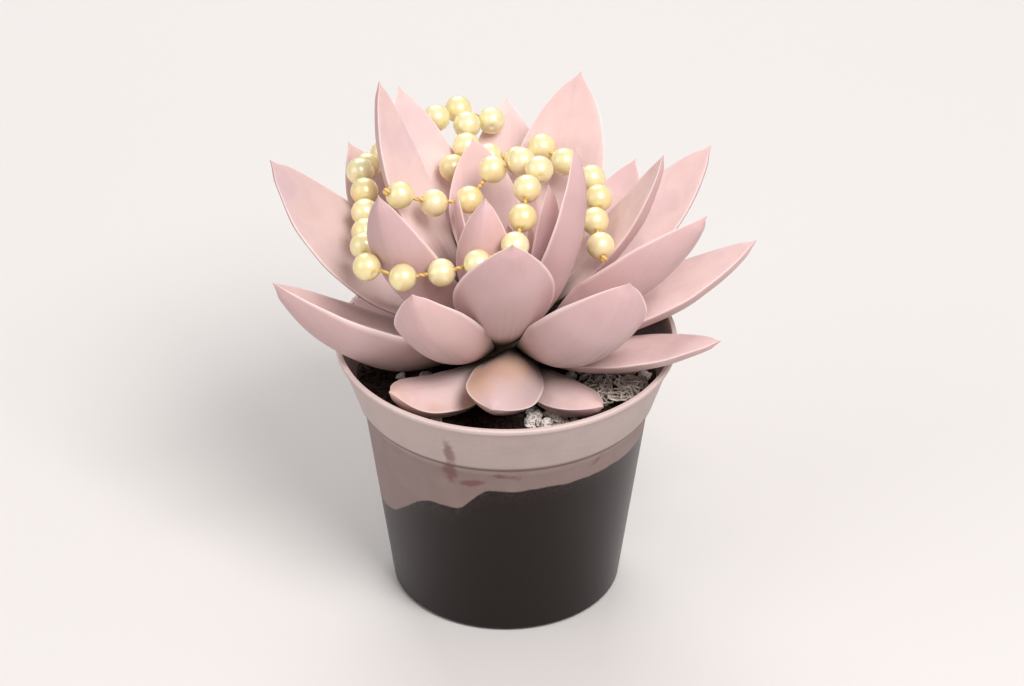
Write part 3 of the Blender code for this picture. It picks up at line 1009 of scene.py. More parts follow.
@dataclass(frozen=True)
class TwistedThread:
    """Twisted polyester thread, which the eye sees as golden yellow strands with a soft shine."""

    bright: str = "#E8C878"
    dull: str = "#B98F4C"
    # Length of the twist, drawn coarser than the real 1 mm so that it shows.
    twist: float = 3.0 * MM
    twist_waver: float = 1.0
    roughness: float = 0.5
    relief: Pair = (0.6, 0.1 * MM)

    def material(self) -> Material:
        """Build the finish.

        Returns:
            The material.
        """
        shader = Shader("twisted_polyester_thread")
        wave = (shader.place, 1.0 / self.twist, self.twist_waver)
        strands = shader.add("TexWave", wave, bands_direction="DIAGONAL")
        colour = shader.add("Mix", (strands, linear(self.dull), linear(self.bright)), **TINT)
        return shader.close({"Base Color": colour, "Roughness": self.roughness}, strands, self.relief)


@dataclass(frozen=True)
class PaperFloor:
    """Seamless studio paper, which the eye sees as a matt, off-white floor without an edge."""

    paper: str = "#D3D0CE"
    # Grain of the paper, drawn coarser than the real 0.5 mm so that it shows.
    grain: float = 3.0 * MM
    roughness: float = 0.85
    relief: Pair = (0.05, 0.1 * MM)

    def material(self) -> Material:
        """Build the finish.

        Returns:
            The material.
        """
        shader = Shader("matt_studio_paper")
        grain = shader.add("TexNoise", (shader.place, 1.0 / self.grain, DETAIL))
        look = {"Base Color": linear(self.paper), "Roughness": self.roughness}
        return shader.close(look, grain, self.relief)


# Pot and what fills it


@dataclass
class Pot:
    """Tapered nursery pot with a stepped rim band and drainage holes."""

    sides: int = 192
    height: float = 72.0 * MM
    base_radius: float = 29.5 * MM
    base_edge: float = 1.0 * MM
    body_top_radius: float = 37.2 * MM
    body_top: float = 56.0 * MM
    band_foot_radius: float = 38.5 * MM
    band_top_radius: float = 43.2 * MM
    rim_radius: float = 44.0 * MM
    lip_height: float = 1.6 * MM
    lip_edge: float = 0.3 * MM
    step: float = 0.4 * MM
    groove_rise: float = 0.1 * MM
    wall: float = 1.0 * MM
    floor: float = 1.2 * MM
    drain_holes: int = 6
    drain_radius: float = 3.0 * MM
    drain_circle: float = 20.0 * MM
    drain_turn: float = 0.4
    drain_sides: int = 48
    edge_round: float = 0.22 * MM
    edge_segments: int = 3
    edge_angle: float = 25.0
    sharp_angle: float = 35.0
    finish: SprayedPlastic = field(default_factory=SprayedPlastic)

    def inner_radius(self, height: float) -> float:
        """Inside radius of the wall.

        Args:
            height: Height above the base.

        Returns:
            The radius there.
        """
        if height <= self.body_top:
            share = height / self.body_top
            return between((self.base_radius, self.body_top_radius), share) - self.wall
        share = (height - self.body_top) / (self.height - self.lip_height - self.body_top)
        return between((self.band_foot_radius, self.band_top_radius), share) - self.wall

    def profile(self) -> list[Pair]:
        """Outline of the wall.

        Returns:
            Radii and heights from the middle of the underside, round and back to the floor.
        """
        lip_foot = self.height - self.lip_height
        return [
            (0.0, 0.0),
            (self.base_radius - self.base_edge, 0.0),
            (self.base_radius, self.base_edge),
            (self.body_top_radius, self.body_top),
            (self.band_foot_radius - self.lip_edge, self.body_top),
            (self.band_foot_radius, self.body_top + self.step),
            (self.band_top_radius, lip_foot),
            (self.rim_radius, lip_foot + self.step),
            (self.rim_radius, self.height - self.lip_edge),
            (self.rim_radius - self.lip_edge, self.height),
            (self.rim_radius - 3.0 * self.step, self.height),
            (self.band_top_radius - self.wall, lip_foot),
            (self.inner_radius(self.body_top + 0.5 * self.step), self.body_top + 3.0 * self.step),
            (self.inner_radius(self.body_top), self.body_top + self.step),
            (self.inner_radius(self.floor) - self.step, self.floor),
            (0.0, self.floor),
        ]

    def build(self) -> Item:
        """Turn the wall, cut the drains and round the edges.

        Returns:
            The pot.
        """
        material = self.finish.material(self.body_top + self.groove_rise)
        pot = mesh_object("pot_shell", *turned(self.profile(), self.sides), material)
        cutters = []
        for hole in range(self.drain_holes):
            azimuth = 360.0 * (hole + self.drain_turn) / self.drain_holes
            cutters.append(self.drain_cutter(azimuth, material))
            cut = pot.modifiers.new(f"drain_{hole + 1}", "BOOLEAN")
            cut.operation = "DIFFERENCE"
            cut.object = cutters[-1]
        edges = pot.modifiers.new("rounded_edges", "BEVEL")
        edges.width = self.edge_round
        edges.segments = self.edge_segments
        edges.angle_limit = math.radians(self.edge_angle)
        edges.use_clamp_overlap = True
        settle_modifiers(pot)
        for cutter in cutters:
            bpy.data.objects.remove(cutter)
        pot.data.shade_smooth()
        pot.data.set_sharp_from_angle(angle=math.radians(self.sharp_angle))
        return pot

    def drain_cutter(self, azimuth: float, material: Material) -> Item:
        """Cylinder that cuts one drainage hole.

        Args:
            azimuth: Its place round the floor, in degrees.
            material: Finish that the cut faces take.

        Returns:
            The cutter.
        """
        middle = heading(azimuth) * self.drain_circle
        reach = 2.0 * self.floor
        radius = self.drain_radius
        outline = [(0.0, -reach), (radius, -reach), (radius, reach), (0.0, reach)]
        places, faces = turned(outline, self.drain_sides)
        return mesh_object("drain_cutter", [place + middle for place in places], faces, material)

    def dress(self) -> None:
        """Build the pot and hand it over."""
        hand_over(self.build(), Slot.POT, "pot")


@dataclass
class Soil:
    """Potting mix with crumbs, perlite grains and a tangle of dry fibre at its surface."""

    pot: Pot
    sides: int = 240
    rings: int = 72
    top: float = 60.0 * MM
    relief: float = 0.9 * MM
    # Length and phase of the waves across and along, and length and share of the slanting one.
    wave_across: Pair = (3.1 * MM, 1.3)
    wave_along: Pair = (3.7 * MM, 0.4)
    ripple: Pair = (5.3 * MM, 0.6)
    roughness: float = 0.55 * MM
    lump: float = 3.2 * MM
    lump_fractal: tuple[float, float, int] = (0.9, 2.1, 4)
    gap: float = 0.3 * MM
    foot_inset: float = 1.2 * MM
    edge_gap: float = 0.15 * MM
    step_gap: float = 0.5 * MM
    step_heights: Pair = (-0.6 * MM, 1.4 * MM)
    hole_radius: float = 9.6 * MM
    hole_depth: float = 26.0 * MM
    patch_rings: int = 40
    patch_sides: int = 96
    patch_gaps: Pair = (1.2 * MM, 1.0 * MM)
    crumb_density: float = 0.52e6
    crumb_radius: float = 1.0 * MM
    crumb_seed: int = 7
    crumb_turns: tuple[Triple, Triple] = ((-3.1, -3.1, -3.1), (3.1, 3.1, 3.1))
    crumb_sizes: tuple[Triple, Triple] = ((0.25, 0.25, 0.2), (1.1, 1.0, 0.8))
    crumb_rough: Pair = (1.2 * MM, 0.7 * MM)
    grains: int = 16
    grain_radius: Pair = (1.6 * MM, 2.6 * MM)
    grain_shares: Pair = (0.16, 0.86)
    grain_rise: float = 0.425 * MM
    grain_scale: float = 0.72
    grain_seed: int = 11
    grain_sizes: tuple[Triple, Triple] = ((0.8, 0.8, 0.6), (1.2, 1.2, 0.95))
    grain_rough: Pair = (1.3 * MM, 0.75 * MM)
    facets: int = 3
    squash_seed: int = 3
    clump: Pair = (10.5 * MM, -22.5 * MM)
    clump_spread: Pair = (5.5 * MM, 2.6 * MM)
    clump_heap: Pair = (0.3, 3.2)
    clump_radius: Pair = (0.6, 1.45)
    clump_grains: int = 46
    tangle: Pair = (28.0 * MM, -9.0 * MM)
    tangle_spread: Pair = (9.5 * MM, 8.5 * MM)
    tangle_heap: float = 3.2 * MM
    tangle_rows: int = 12
    tangle_gap: float = 2.0 * MM
    tangle_density: float = 0.26e6
    fibre_radius: float = 0.27 * MM
    fibre_sides: int = 4
    fibre_seed: int = 5
    fibre_steps: int = 9
    fibre_coils: float = 1.6
    fibre_coil: Triple = (0.9 * MM, 2.1 * MM, 1.2 * MM)
    fibre_turns: tuple[Triple, Triple] = ((-0.9, -0.9, -3.1), (0.9, 0.9, 3.1))
    fibre_sizes: tuple[Triple, Triple] = ((0.6, 0.6, 0.4), (1.5, 1.4, 1.2))
    fibre_rough: Pair = (4.0 * MM, 2.2 * MM)
    finish: PottingSoil = field(default_factory=PottingSoil)
    perlite: Perlite = field(default_factory=Perlite)
    fibre: DryFibre = field(default_factory=DryFibre)

    def ground(self, x: float, y: float) -> float:
        """Rise of the surface above its mean level, without the grains.

        Args:
            x: Place to the right.
            y: Place to the back.

        Returns:
            The rise.
        """
        across = math.sin(x / self.wave_across[0] + self.wave_across[1])
        wave = across * math.cos(y / self.wave_along[0] + self.wave_along[1])
        ripple = math.sin((x + y) / self.ripple[0]) * self.ripple[1]
        rough = noise.fractal(Vector((x, y, 0.0)) / self.lump, *self.lump_fractal)
        return self.relief * 0.5 * (wave + ripple) + self.roughness * rough

    def build_bed(self) -> Item:
        """Build the body with its rough top and the plain hole for the stem.

        Returns:
            The body.
        """
        pot = self.pot
        edge = pot.inner_radius(self.top) - self.edge_gap
        inner = pot.inner_radius(pot.body_top) - self.step_gap
        foot = pot.floor + self.gap
        bottom = self.top - self.hole_depth
        profile = [(0.0, foot), (pot.inner_radius(foot) - self.foot_inset, foot)]
        profile += [(inner, pot.body_top + height) for height in self.step_heights]
        for ring in range(self.rings):
            profile.append((between((edge, self.hole_radius), ring / (self.rings - 1)), self.top))
        profile += [(self.hole_radius, bottom), (0.0, bottom)]

        def lift(x: float, y: float, z: float) -> float:
            """Rise of the surface at a place, and nothing elsewhere."""
            return self.ground(x, y) if abs(z - self.top) < 0.5 * self.gap else 0.0

        return mesh_object("soil_bed", *turned(profile, self.sides, lift), self.finish.material())

    def top_patch(self) -> Mesh:
        """Surface of the soil alone, for the crumbs to lie on.

        Returns:
            The surface.
        """
        sides = self.patch_sides
        edge = self.pot.inner_radius(self.top) - self.patch_gaps[0]
        reaches = (edge, self.hole_radius + self.patch_gaps[1])
        places = []
        for ring in range(self.patch_rings):
            reach = between(reaches, ring / (self.patch_rings - 1))
            for side in range(sides):
                out = heading(360.0 * side / sides) * reach
                places.append(Vector((out.x, out.y, self.top + self.ground(out.x, out.y))))
        faces = [
            (low + side, low + after, low + sides + after, low + sides + side)
            for low in range(0, (self.patch_rings - 1) * sides, sides)
            for side, after in zip(range(sides), [*range(1, sides), 0])
        ]
        return plain_mesh("soil_top_patch", places, faces)

    def grow_crumbs(self) -> Item:
        """Grow small angular crumbs over the surface.

        Returns:
            The crumbs.
        """
        grower = Grower(
            "soil_crumbs",
            {
                "Density": (Input.LENGTH, self.crumb_density),
                "Crumb Radius": (Input.LENGTH, self.crumb_radius),
                "Seed": (Input.COUNT, self.crumb_seed),
                "Finish": (Input.FINISH, self.finish.material()),
            },
        )
        crumb = grower.add("MeshIcoSphere", {"Radius": grower.given("Crumb Radius"), "Subdivisions": 1})
        laid = grower.scattered(crumb, self.crumb_turns, self.crumb_sizes)
        return grower.grow(self.top_patch(), grower.roughened(laid, *self.crumb_rough), smooth=False)

    def grain_spots(self) -> tuple[list[Triple], list[float]]:
        """Seeded grains: the large ones of the solid, and a clump of small ones.

        Returns:
            Their places and sizes.
        """
        draw = random.Random(self.grain_seed)
        places = []
        sizes = []
        for _ in range(self.grains):
            reach = math.sqrt(draw.uniform(*self.grain_shares)) * self.pot.inner_radius(self.top)
            turn = draw.uniform(0.0, 2.0 * math.pi)
            sizes.append(self.grain_scale * draw.uniform(*self.grain_radius))
            x = reach * math.cos(turn)
            y = reach * math.sin(turn)
            places.append((x, y, self.top + self.ground(x, y) + self.grain_rise))
        draw = random.Random(self.grain_seed)
        for _ in range(self.clump_grains):
            x = draw.gauss(self.clump[0], 0.5 * self.clump_spread[0])
            y = draw.gauss(self.clump[1], 0.5 * self.clump_spread[1])
            heap = math.exp(-(((x - self.clump[0]) / self.clump_spread[0]) ** 2))
            z = self.top + self.ground(x, y) + draw.uniform(*self.clump_heap) * MM * heap
            places.append((x, y, z))
            sizes.append(draw.uniform(*self.clump_radius) * MM)
        return places, sizes

    def grow_perlite(self) -> Item:
        """Grow pitted white grains.

        Returns:
            The grains.
        """
        places, sizes = self.grain_spots()
        mesh = plain_mesh("perlite_spots", places, [])
        write_values(mesh, "size", sizes)
        grower = Grower(
            "perlite_grains",
            {
                "Seed": (Input.COUNT, self.squash_seed),
                "Facets": (Input.COUNT, self.facets),
                "Finish": (Input.FINISH, self.perlite.material()),
            },
        )
        size = grower.add("InputNamedAttribute", {"Name": "size"}, data_type="FLOAT")
        least, most = self.grain_sizes
        ends = {"Min": least, "Max": most, "Seed": grower.given("Seed")}
        squash = grower.add("FunctionNodeRandomValue", ends, data_type="FLOAT_VECTOR")
        scale = grower.add("ShaderNodeVectorMath", (squash, size), operation="SCALE")
        grain = grower.add("MeshIcoSphere", {"Radius": 1.0, "Subdivisions": grower.given("Facets")})
        points = grower.add("MeshToPoints", {"Mesh": grower.given("Geometry")})
        laid = grower.add("InstanceOnPoints", {"Points": points, "Instance": grain, "Scale": scale})
        real = grower.add("RealizeInstances", (laid,))
        return grower.grow(mesh, grower.roughened(real, *self.grain_rough))

    def tangle_patch(self) -> Mesh:
        """Heaped patch that the fibres lie on, kept within the pot.

        Returns:
            The patch.
        """
        count = self.tangle_rows
        steps = [2.0 * step / (count - 1) - 1.0 for step in range(count)]
        places = []
        for deep in steps:
            for wide in steps:
                x = self.tangle[0] + wide * self.tangle_spread[0]
                y = self.tangle[1] + deep * self.tangle_spread[1]
                heap = max(0.0, 1.0 - wide**2)
                places.append((x, y, self.top + self.ground(x, y) + self.tangle_heap * heap))
        limit = self.pot.inner_radius(self.top) - self.tangle_gap
        faces = [
            (a, a + 1, a + count + 1, a + count)
            for row in range(count - 1)
            for a in range(row * count, row * count + count - 1)
        ]
        inside = [face for face in faces if all(math.hypot(*places[a][:2]) < limit for a in face)]
        return plain_mesh("tangle_patch", places, inside)

    def grow_tangle(self) -> Item:
        """Grow a loose nest of curled fibres near the rim.

        Returns:
            The fibres.
        """
        grower = Grower(
            "fibre_tangle",
            {
                "Density": (Input.LENGTH, self.tangle_density),
                "Fibre Radius": (Input.LENGTH, self.fibre_radius),
                "Seed": (Input.COUNT, self.fibre_seed),
                "Finish": (Input.FINISH, self.fibre.material()),
            },
        )
        curl = grower.add("CurveSpiral", (self.fibre_steps, self.fibre_coils, *self.fibre_coil))
        laid = grower.scattered(curl, self.fibre_turns, self.fibre_sizes)
        bent = grower.roughened(laid, *self.fibre_rough)
        ring = {"Resolution": self.fibre_sides, "Radius": grower.given("Fibre Radius")}
        section = grower.add("CurvePrimitiveCircle", ring, mode="RADIUS")
        ends = {"Curve": bent, "Profile Curve": section, "Fill Caps": True}
        return grower.grow(self.tangle_patch(), grower.add("CurveToMesh", ends))

    def dress(self) -> None:
        """Build the soil and what lies on it, and hand each over."""
        hand_over(self.build_bed(), Slot.SOIL, "soil")
        hand_over(self.grow_crumbs(), Slot.SOIL)
        hand_over(self.grow_perlite(), Slot.SOIL, "soil")
        hand_over(self.grow_tangle(), Slot.SOIL)


# Stem, leaves and heart


@dataclass(frozen=True)
class LeafForm:
    """How every leaf is shaped along its length and across its sections."""

    root_breadth: float = 7.0 * MM
    root_depth: float = 2.6 * MM
    widest: float = 0.5
    deepest: float = 0.4
    swell_power: float = 0.8
    root_pull: float = 0.34
    tip_pull: float = 0.33
    # Share of the lean that the axis has at its root and adds at its tip, and its steepest end.
    root_lean: float = 0.4
    tip_lean: float = 0.2
    steepest: float = 96.0
    turn_from: float = 0.3
    roll_by: float = 0.35
    upright_root: float = 0.12
    look_ahead: float = 0.002
    section_power: float = 2.3
    tip_depth: float = 0.8 * MM
    crown_share: float = 0.14
    keel_share: float = 0.07
    keel_width: float = 0.2
    keel_by: Pair = (0.45, 0.9)
    edge_thickness: float = 0.3 * MM
    point_from: float = 0.935
    point_power: float = 0.45
    waver: float = 0.22 * MM
    waver_length: float = 9.0 * MM
    waver_seed: Triple = (3.7, 1.9, 0.0)
    waver_in: Pair = (0.1, 0.3)
    waver_out: Pair = (0.93, 1.0)
    # How sharply the inner face changes to the outer one, and how far apart patterns are laid.
    face_change: float = 6.0
    leaf_apart: float = 0.05
    faces_apart: float = 0.004
    crowding: float = 1.35
    last_station: float = 0.985


@dataclass
class Leaf:
    """One boat-shaped leaf: a curved axis with keeled sections along it."""

    number: int
    root: Vector
    seat_azimuth: float
    tip_azimuth: float
    rise: float
    roll: float
    reach: float
    breadth: float
    depth: float
    curl: float
    taper: float
    channel: float
    form: LeafForm = field(default_factory=LeafForm)

    def __post_init__(self) -> None:
        """Lay the axis from the seat to the tip."""
        form = self.form
        self.lean = (self.tip_azimuth - self.seat_azimuth + 180.0) % 360.0 - 180.0
        tip = self.root + heading(self.tip_azimuth, self.rise) * self.reach
        start = heading(self.seat_azimuth + form.root_lean * self.lean, self.rise - self.curl)
        climb = min(self.rise + self.curl, form.steepest)
        finish = heading(self.tip_azimuth + form.tip_lean * self.lean, climb)
        after_root = self.root + start * self.reach * form.root_pull
        before_tip = tip - finish * self.reach * form.tip_pull
        self.axis = (self.root, after_root, before_tip, tip)

    def point(self, share: float) -> Vector:
        """Place on the axis.

        Args:
            share: Share of the leaf's length.

        Returns:
            The place.
        """
        rest = 1.0 - share
        weights = (rest**3, 3.0 * rest * rest * share, 3.0 * rest * share * share, share**3)
        return sum((place * weight for place, weight in zip(self.axis, weights)), Vector())

    def across(self, share: float) -> tuple[Vector, Vector]:
        """Side and upward directions of a section.

        Args:
            share: Share of the leaf's length.

        Returns:
            Unit vectors to the side and out of the inner face.
        """
        form = self.form
        ahead = self.point(min(share + form.look_ahead, 1.0))
        behind = self.point(max(share - form.look_ahead, 0.0))
        along = (ahead - behind).normalized()
        turn = math.radians(self.seat_azimuth + self.lean * min(1.0, form.turn_from + share))
        side = Vector((-math.sin(turn), math.cos(turn), 0.0))
        side = (side - along * side.dot(along)).normalized()
        rolled = math.radians(self.roll * min(1.0, share / form.roll_by))
        side = Quaternion(along, rolled) @ side
        up = along.cross(side)
        level = max(0.0, 1.0 - share / form.upright_root)
        up = (up * (1.0 - level) + Vector((0.0, 0.0, level))).normalized()
        return side, up

    def sizes(self, share: float) -> Pair:
        """Size of a section, drawn in to a small point at the tip.

        Args:
            share: Share of the leaf's length.

        Returns:
            Its breadth and depth.
        """
        form = self.form
        if share < form.widest:
            wide = math.sin(0.5 * math.pi * share / form.widest) ** form.swell_power
            breadth = between((form.root_breadth, self.breadth), wide)
        else:
            past = (share - form.widest) / (1.0 - form.widest)
            breadth = self.breadth * (1.0 - past**self.taper)
        if share < form.deepest:
            deep = math.sin(0.5 * math.pi * share / form.deepest)
            depth = between((form.root_depth, self.depth), deep)
        else:
            past = (share - form.deepest) / (1.0 - form.deepest)
            depth = between((form.tip_depth, self.depth), 1.0 - past * past)
        end = max(0.0, (share - form.point_from) / (1.0 - form.point_from))
        drawn = (1.0 - end) ** form.point_power
        return breadth * drawn, depth * drawn

    def section(self, share: float, turn: float) -> Pair:
        """Place within a section: to the side and out of the inner face.

        Args:
            share: Share of the leaf's length.
            turn: Angle round the section, nought at its side.

        Returns:
            The two distances from the axis.
        """
        form = self.form
        breadth, depth = self.sizes(share)
        cosine = math.cos(turn)
        sine = math.sin(turn)
        middle = 1.0 - abs(cosine) ** form.section_power
        edge = form.edge_thickness * min(1.0, breadth / self.breadth) * sine
        if sine > 0.0:
            channel = self.channel * breadth * middle * middle
            return 0.5 * breadth * cosine, form.crown_share * depth * middle - channel + edge
        keel = math.exp(-((cosine / form.keel_width) ** 2)) * ramp(share, *form.keel_by)
        swell = middle + form.keel_share * keel
        return 0.5 * breadth * cosine, (form.crown_share - 1.0) * depth * swell + edge

    def mesh(self, stations: int, sides: int) -> tuple[list[Vector], list[Face], dict[str, list]]:
        """Closed skin of the leaf with what its finish reads.

        Args:
            stations: Sections along the leaf.
            sides: Vertices round each section.

        Returns:
            Places, faces, and values for each vertex by name.
        """
        form = self.form
        places: list[Vector] = []
        values: dict[str, list] = {"along": [], "across": [], "upper": [], "lay": []}
        seed = Vector(form.waver_seed) * self.number
        for station in range(stations):
            share = 1.0 - (1.0 - form.last_station * station / (stations - 1)) ** form.crowding
            centre = self.point(share)
            side, up = self.across(share)
            fade = ramp(share, *form.waver_in) * (1.0 - ramp(share, *form.waver_out))
            for index in range(sides):
                turn = 2.0 * math.pi * index / sides
                wide, high = self.section(share, turn)
                place = centre + side * wide + up * high
                shift = noise.noise_vector(place / form.waver_length + seed) * form.waver
                places.append(place + shift * fade)
                inner = 0.5 + 0.5 * math.tanh(form.face_change * math.sin(turn))
                level = self.number * form.leaf_apart + form.faces_apart * inner
                lay = Vector((wide, share * self.reach, level))
                for name, value in zip(values, (share, math.cos(turn), inner, lay)):
                    values[name].append(value)
        start = len(places)
        places.append(sum(places[:sides], Vector()) / sides)
        places.append(self.point(1.0))
        for share, first in ((0.0, 0), (1.0, start - sides)):
            for name, value in zip(values, (share, 0.0, 0.5, values["lay"][first])):
                values[name].append(value)
        return places, closed_rings(stations, sides, start, start + 1), values


@dataclass(frozen=True)
class Skinner:
    """Makes objects of the skins of leaves."""

    stations: int
    sides: int

    def skin(self, name: str, leaves: Sequence[Leaf], material: Material, look: Pair) -> Item:
        """Make one object of the skins of some leaves.

        Args:
            name: Name of the object.
            leaves: Leaves to join in it.
            material: Finish of the leaves.
            look: Brightness of the coat, which on some leaves is painted light and shade, and how much
                of it is rubbed off.

        Returns:
            The object, with the values that its finish reads.
        """
        places: list[Vector] = []
        faces: list[Face] = []
        values: dict[str, list] = {}
        for leaf in leaves:
            more_places, more_faces, more_values = leaf.mesh(self.stations, self.sides)
            start = len(places)
            places.extend(more_places)
            faces.extend(tuple(start + corner for corner in face) for face in more_faces)
            for key, found in more_values.items():
                values.setdefault(key, []).extend(found)
        values["tone"] = [look[0]] * len(places)
        values["bare"] = [look[1]] * len(places)
        piece = mesh_object(name, places, faces, material)
        for key, found in values.items():
            write_values(piece.data, key, found)
        return piece


@dataclass
class Rosette:
    """Leaves on the stem by the golden angle, each grown a little off the rule."""

    seats: int = 28
    golden_angle: float = 137.508
    first_azimuth: float = 77.5
    seat_radius: Pair = (9.5 * MM, 6.0 * MM)
    seat_height: Pair = (67.3 * MM, 81.5 * MM)
    skinner: Skinner = Skinner(64, 48)
    taper: float = 2.2
    blunt_taper: float = 3.4
    blunt_seats: tuple[int, ...] = (0, 4, 9)
    finish: SprayedLeaf = field(default_factory=SprayedLeaf)

    # Azimuth, rise and roll of the tip in degrees, and reach in mm, for each seat from the lowest.
    grown: tuple[Quad, ...] = (
        (79.0, 8.0, -4.0, 30.0), (313.0, 4.4, 0.0, 29.5), (158.0, 9.5, -2.5, 34.0),
        (20.0, 14.6, -2.0, 43.0), (219.0, 8.7, -12.5, 34.0), (110.0, 21.2, -1.0, 53.0),
        (338.0, 16.8, -4.0, 52.5), (192.0, 26.4, 15.0, 58.0), (54.0, 27.0, -2.5, 56.0),
        (260.5, 5.6, -9.0, 31.0), (134.0, 34.0, 0.0, 60.0), (357.0, 28.0, 0.0, 63.0),
        (241.0, 44.0, 25.5, 51.5), (90.0, 37.5, 0.0, 60.5), (308.5, 42.6, -27.5, 56.0),
        (169.5, 39.3, -12.0, 69.0), (24.0, 37.0, 0.0, 64.0), (275.5, 57.0, 0.0, 56.5),
        (124.0, 47.0, 0.0, 62.5), (340.5, 42.3, -40.0, 62.5), (211.0, 58.2, 40.0, 57.0),
        (64.0, 51.5, 0.0, 62.3), (333.0, 74.5, 0.0, 60.5), (152.0, 63.3, 3.0, 66.0),
        (6.0, 52.0, 0.0, 55.0), (260.5, 74.5, 0.0, 46.0), (112.0, 62.0, 0.0, 41.0),
        (321.5, 80.0, 0.0, 42.0),
    )
    # What the leaves of the other seats have, by share of the way up: mm, mm and degrees.
    breadth_rule: Table = ((0.0, 17.0), (0.2, 20.0), (0.5, 22.5), (0.8, 20.5), (1.0, 11.0))
    depth_rule: Table = ((0.0, 5.8), (0.1, 6.8), (0.25, 7.6), (0.5, 8.2), (0.85, 6.4), (1.0, 4.2))
    curl_rule: Table = ((0.0, 12.0), (0.3, 23.0), (0.8, 19.6), (1.0, 12.0))
    channel_rule: float = 0.05
    breadth_grown: dict[int, float] = field(
        default_factory=lambda: {
            1: 14.0, 4: 14.8, 6: 19.0, 7: 23.0, 8: 20.4, 9: 18.9, 12: 20.7, 14: 26.0, 15: 25.0,
            16: 24.0, 17: 25.5, 20: 18.5, 21: 25.5, 22: 14.0, 25: 15.0, 26: 19.0,
        }
    )
    depth_grown: dict[int, float] = field(
        default_factory=lambda: {
            1: 6.0, 3: 5.4, 4: 7.2, 6: 5.5, 7: 13.0, 9: 6.8, 11: 6.8, 12: 8.0, 14: 10.4, 22: 6.0,
            25: 6.2, 26: 6.0,
        }
    )
    curl_grown: dict[int, float] = field(
        default_factory=lambda: {
            4: 26.5, 6: 6.0, 7: 7.0, 9: 5.5, 11: 13.0, 12: 15.0, 14: 16.0, 15: 16.0, 16: 16.0,
            17: 3.0, 19: 8.0,
        }
    )
    channel_grown: dict[int, float] = field(
        default_factory=lambda: {1: -0.1, 4: -0.08, 7: 0.28, 9: -0.2}
    )
    rubbed: dict[int, float] = field(
        default_factory=lambda: {1: 0.3, 4: 0.55, 6: 0.15, 9: 0.8, 12: 0.25, 17: 0.12}
    )
    # Brightness set for some seats to match the light and shade on them: painted light and shade.
    toned: dict[int, float] = field(
        default_factory=lambda: {
            1: 0.965, 4: 0.92, 7: 0.9, 9: 0.71, 13: 1.07, 15: 0.8, 20: 0.9, 23: 0.98, 25: 1.1,
        }
    )
    look_seed: int = 4
    tones: Pair = (0.96, 1.03)
    rubs: Pair = (0.0, 0.12)

    def leaf(self, seat: int) -> Leaf:
        """Leaf of a seat.

        Args:
            seat: Its number, counted from the lowest.

        Returns:
            The leaf.
        """
        share = seat / (self.seats - 1)
        azimuth = (self.first_azimuth - self.golden_angle * seat) % 360.0
        tip_azimuth, rise, roll, reach = self.grown[seat]
        root = heading(azimuth) * between(self.seat_radius, share)
        root.z = between(self.seat_height, share)
        return Leaf(
            number=seat,
            root=root,
            seat_azimuth=azimuth,
            tip_azimuth=tip_azimuth,
            rise=rise,
            roll=roll,
            reach=reach * MM,
            breadth=self.breadth_grown.get(seat, read(self.breadth_rule, share)) * MM,
            depth=self.depth_grown.get(seat, read(self.depth_rule, share)) * MM,
            curl=self.curl_grown.get(seat, read(self.curl_rule, share)),
            taper=self.blunt_taper if seat in self.blunt_seats else self.taper,
            channel=self.channel_grown.get(seat, self.channel_rule),
        )

    def dress(self) -> None:
        """Build each leaf over its solid and hand it over."""
        material = self.finish.material()
        draw = random.Random(self.look_seed)
        for seat in range(self.seats):
            node = f"leaf_{seat + 1:02d}"
            # The set tones are painted light and shade; the drawn ones are the leaves' own.
            tone = self.toned.get(seat, draw.uniform(*self.tones))
            bare = self.rubbed.get(seat, draw.uniform(*self.rubs))
            piece = self.skinner.skin(f"{node}_skin", [self.leaf(seat)], material, (tone, bare))
            hand_over(piece, Slot.LEAF, node)


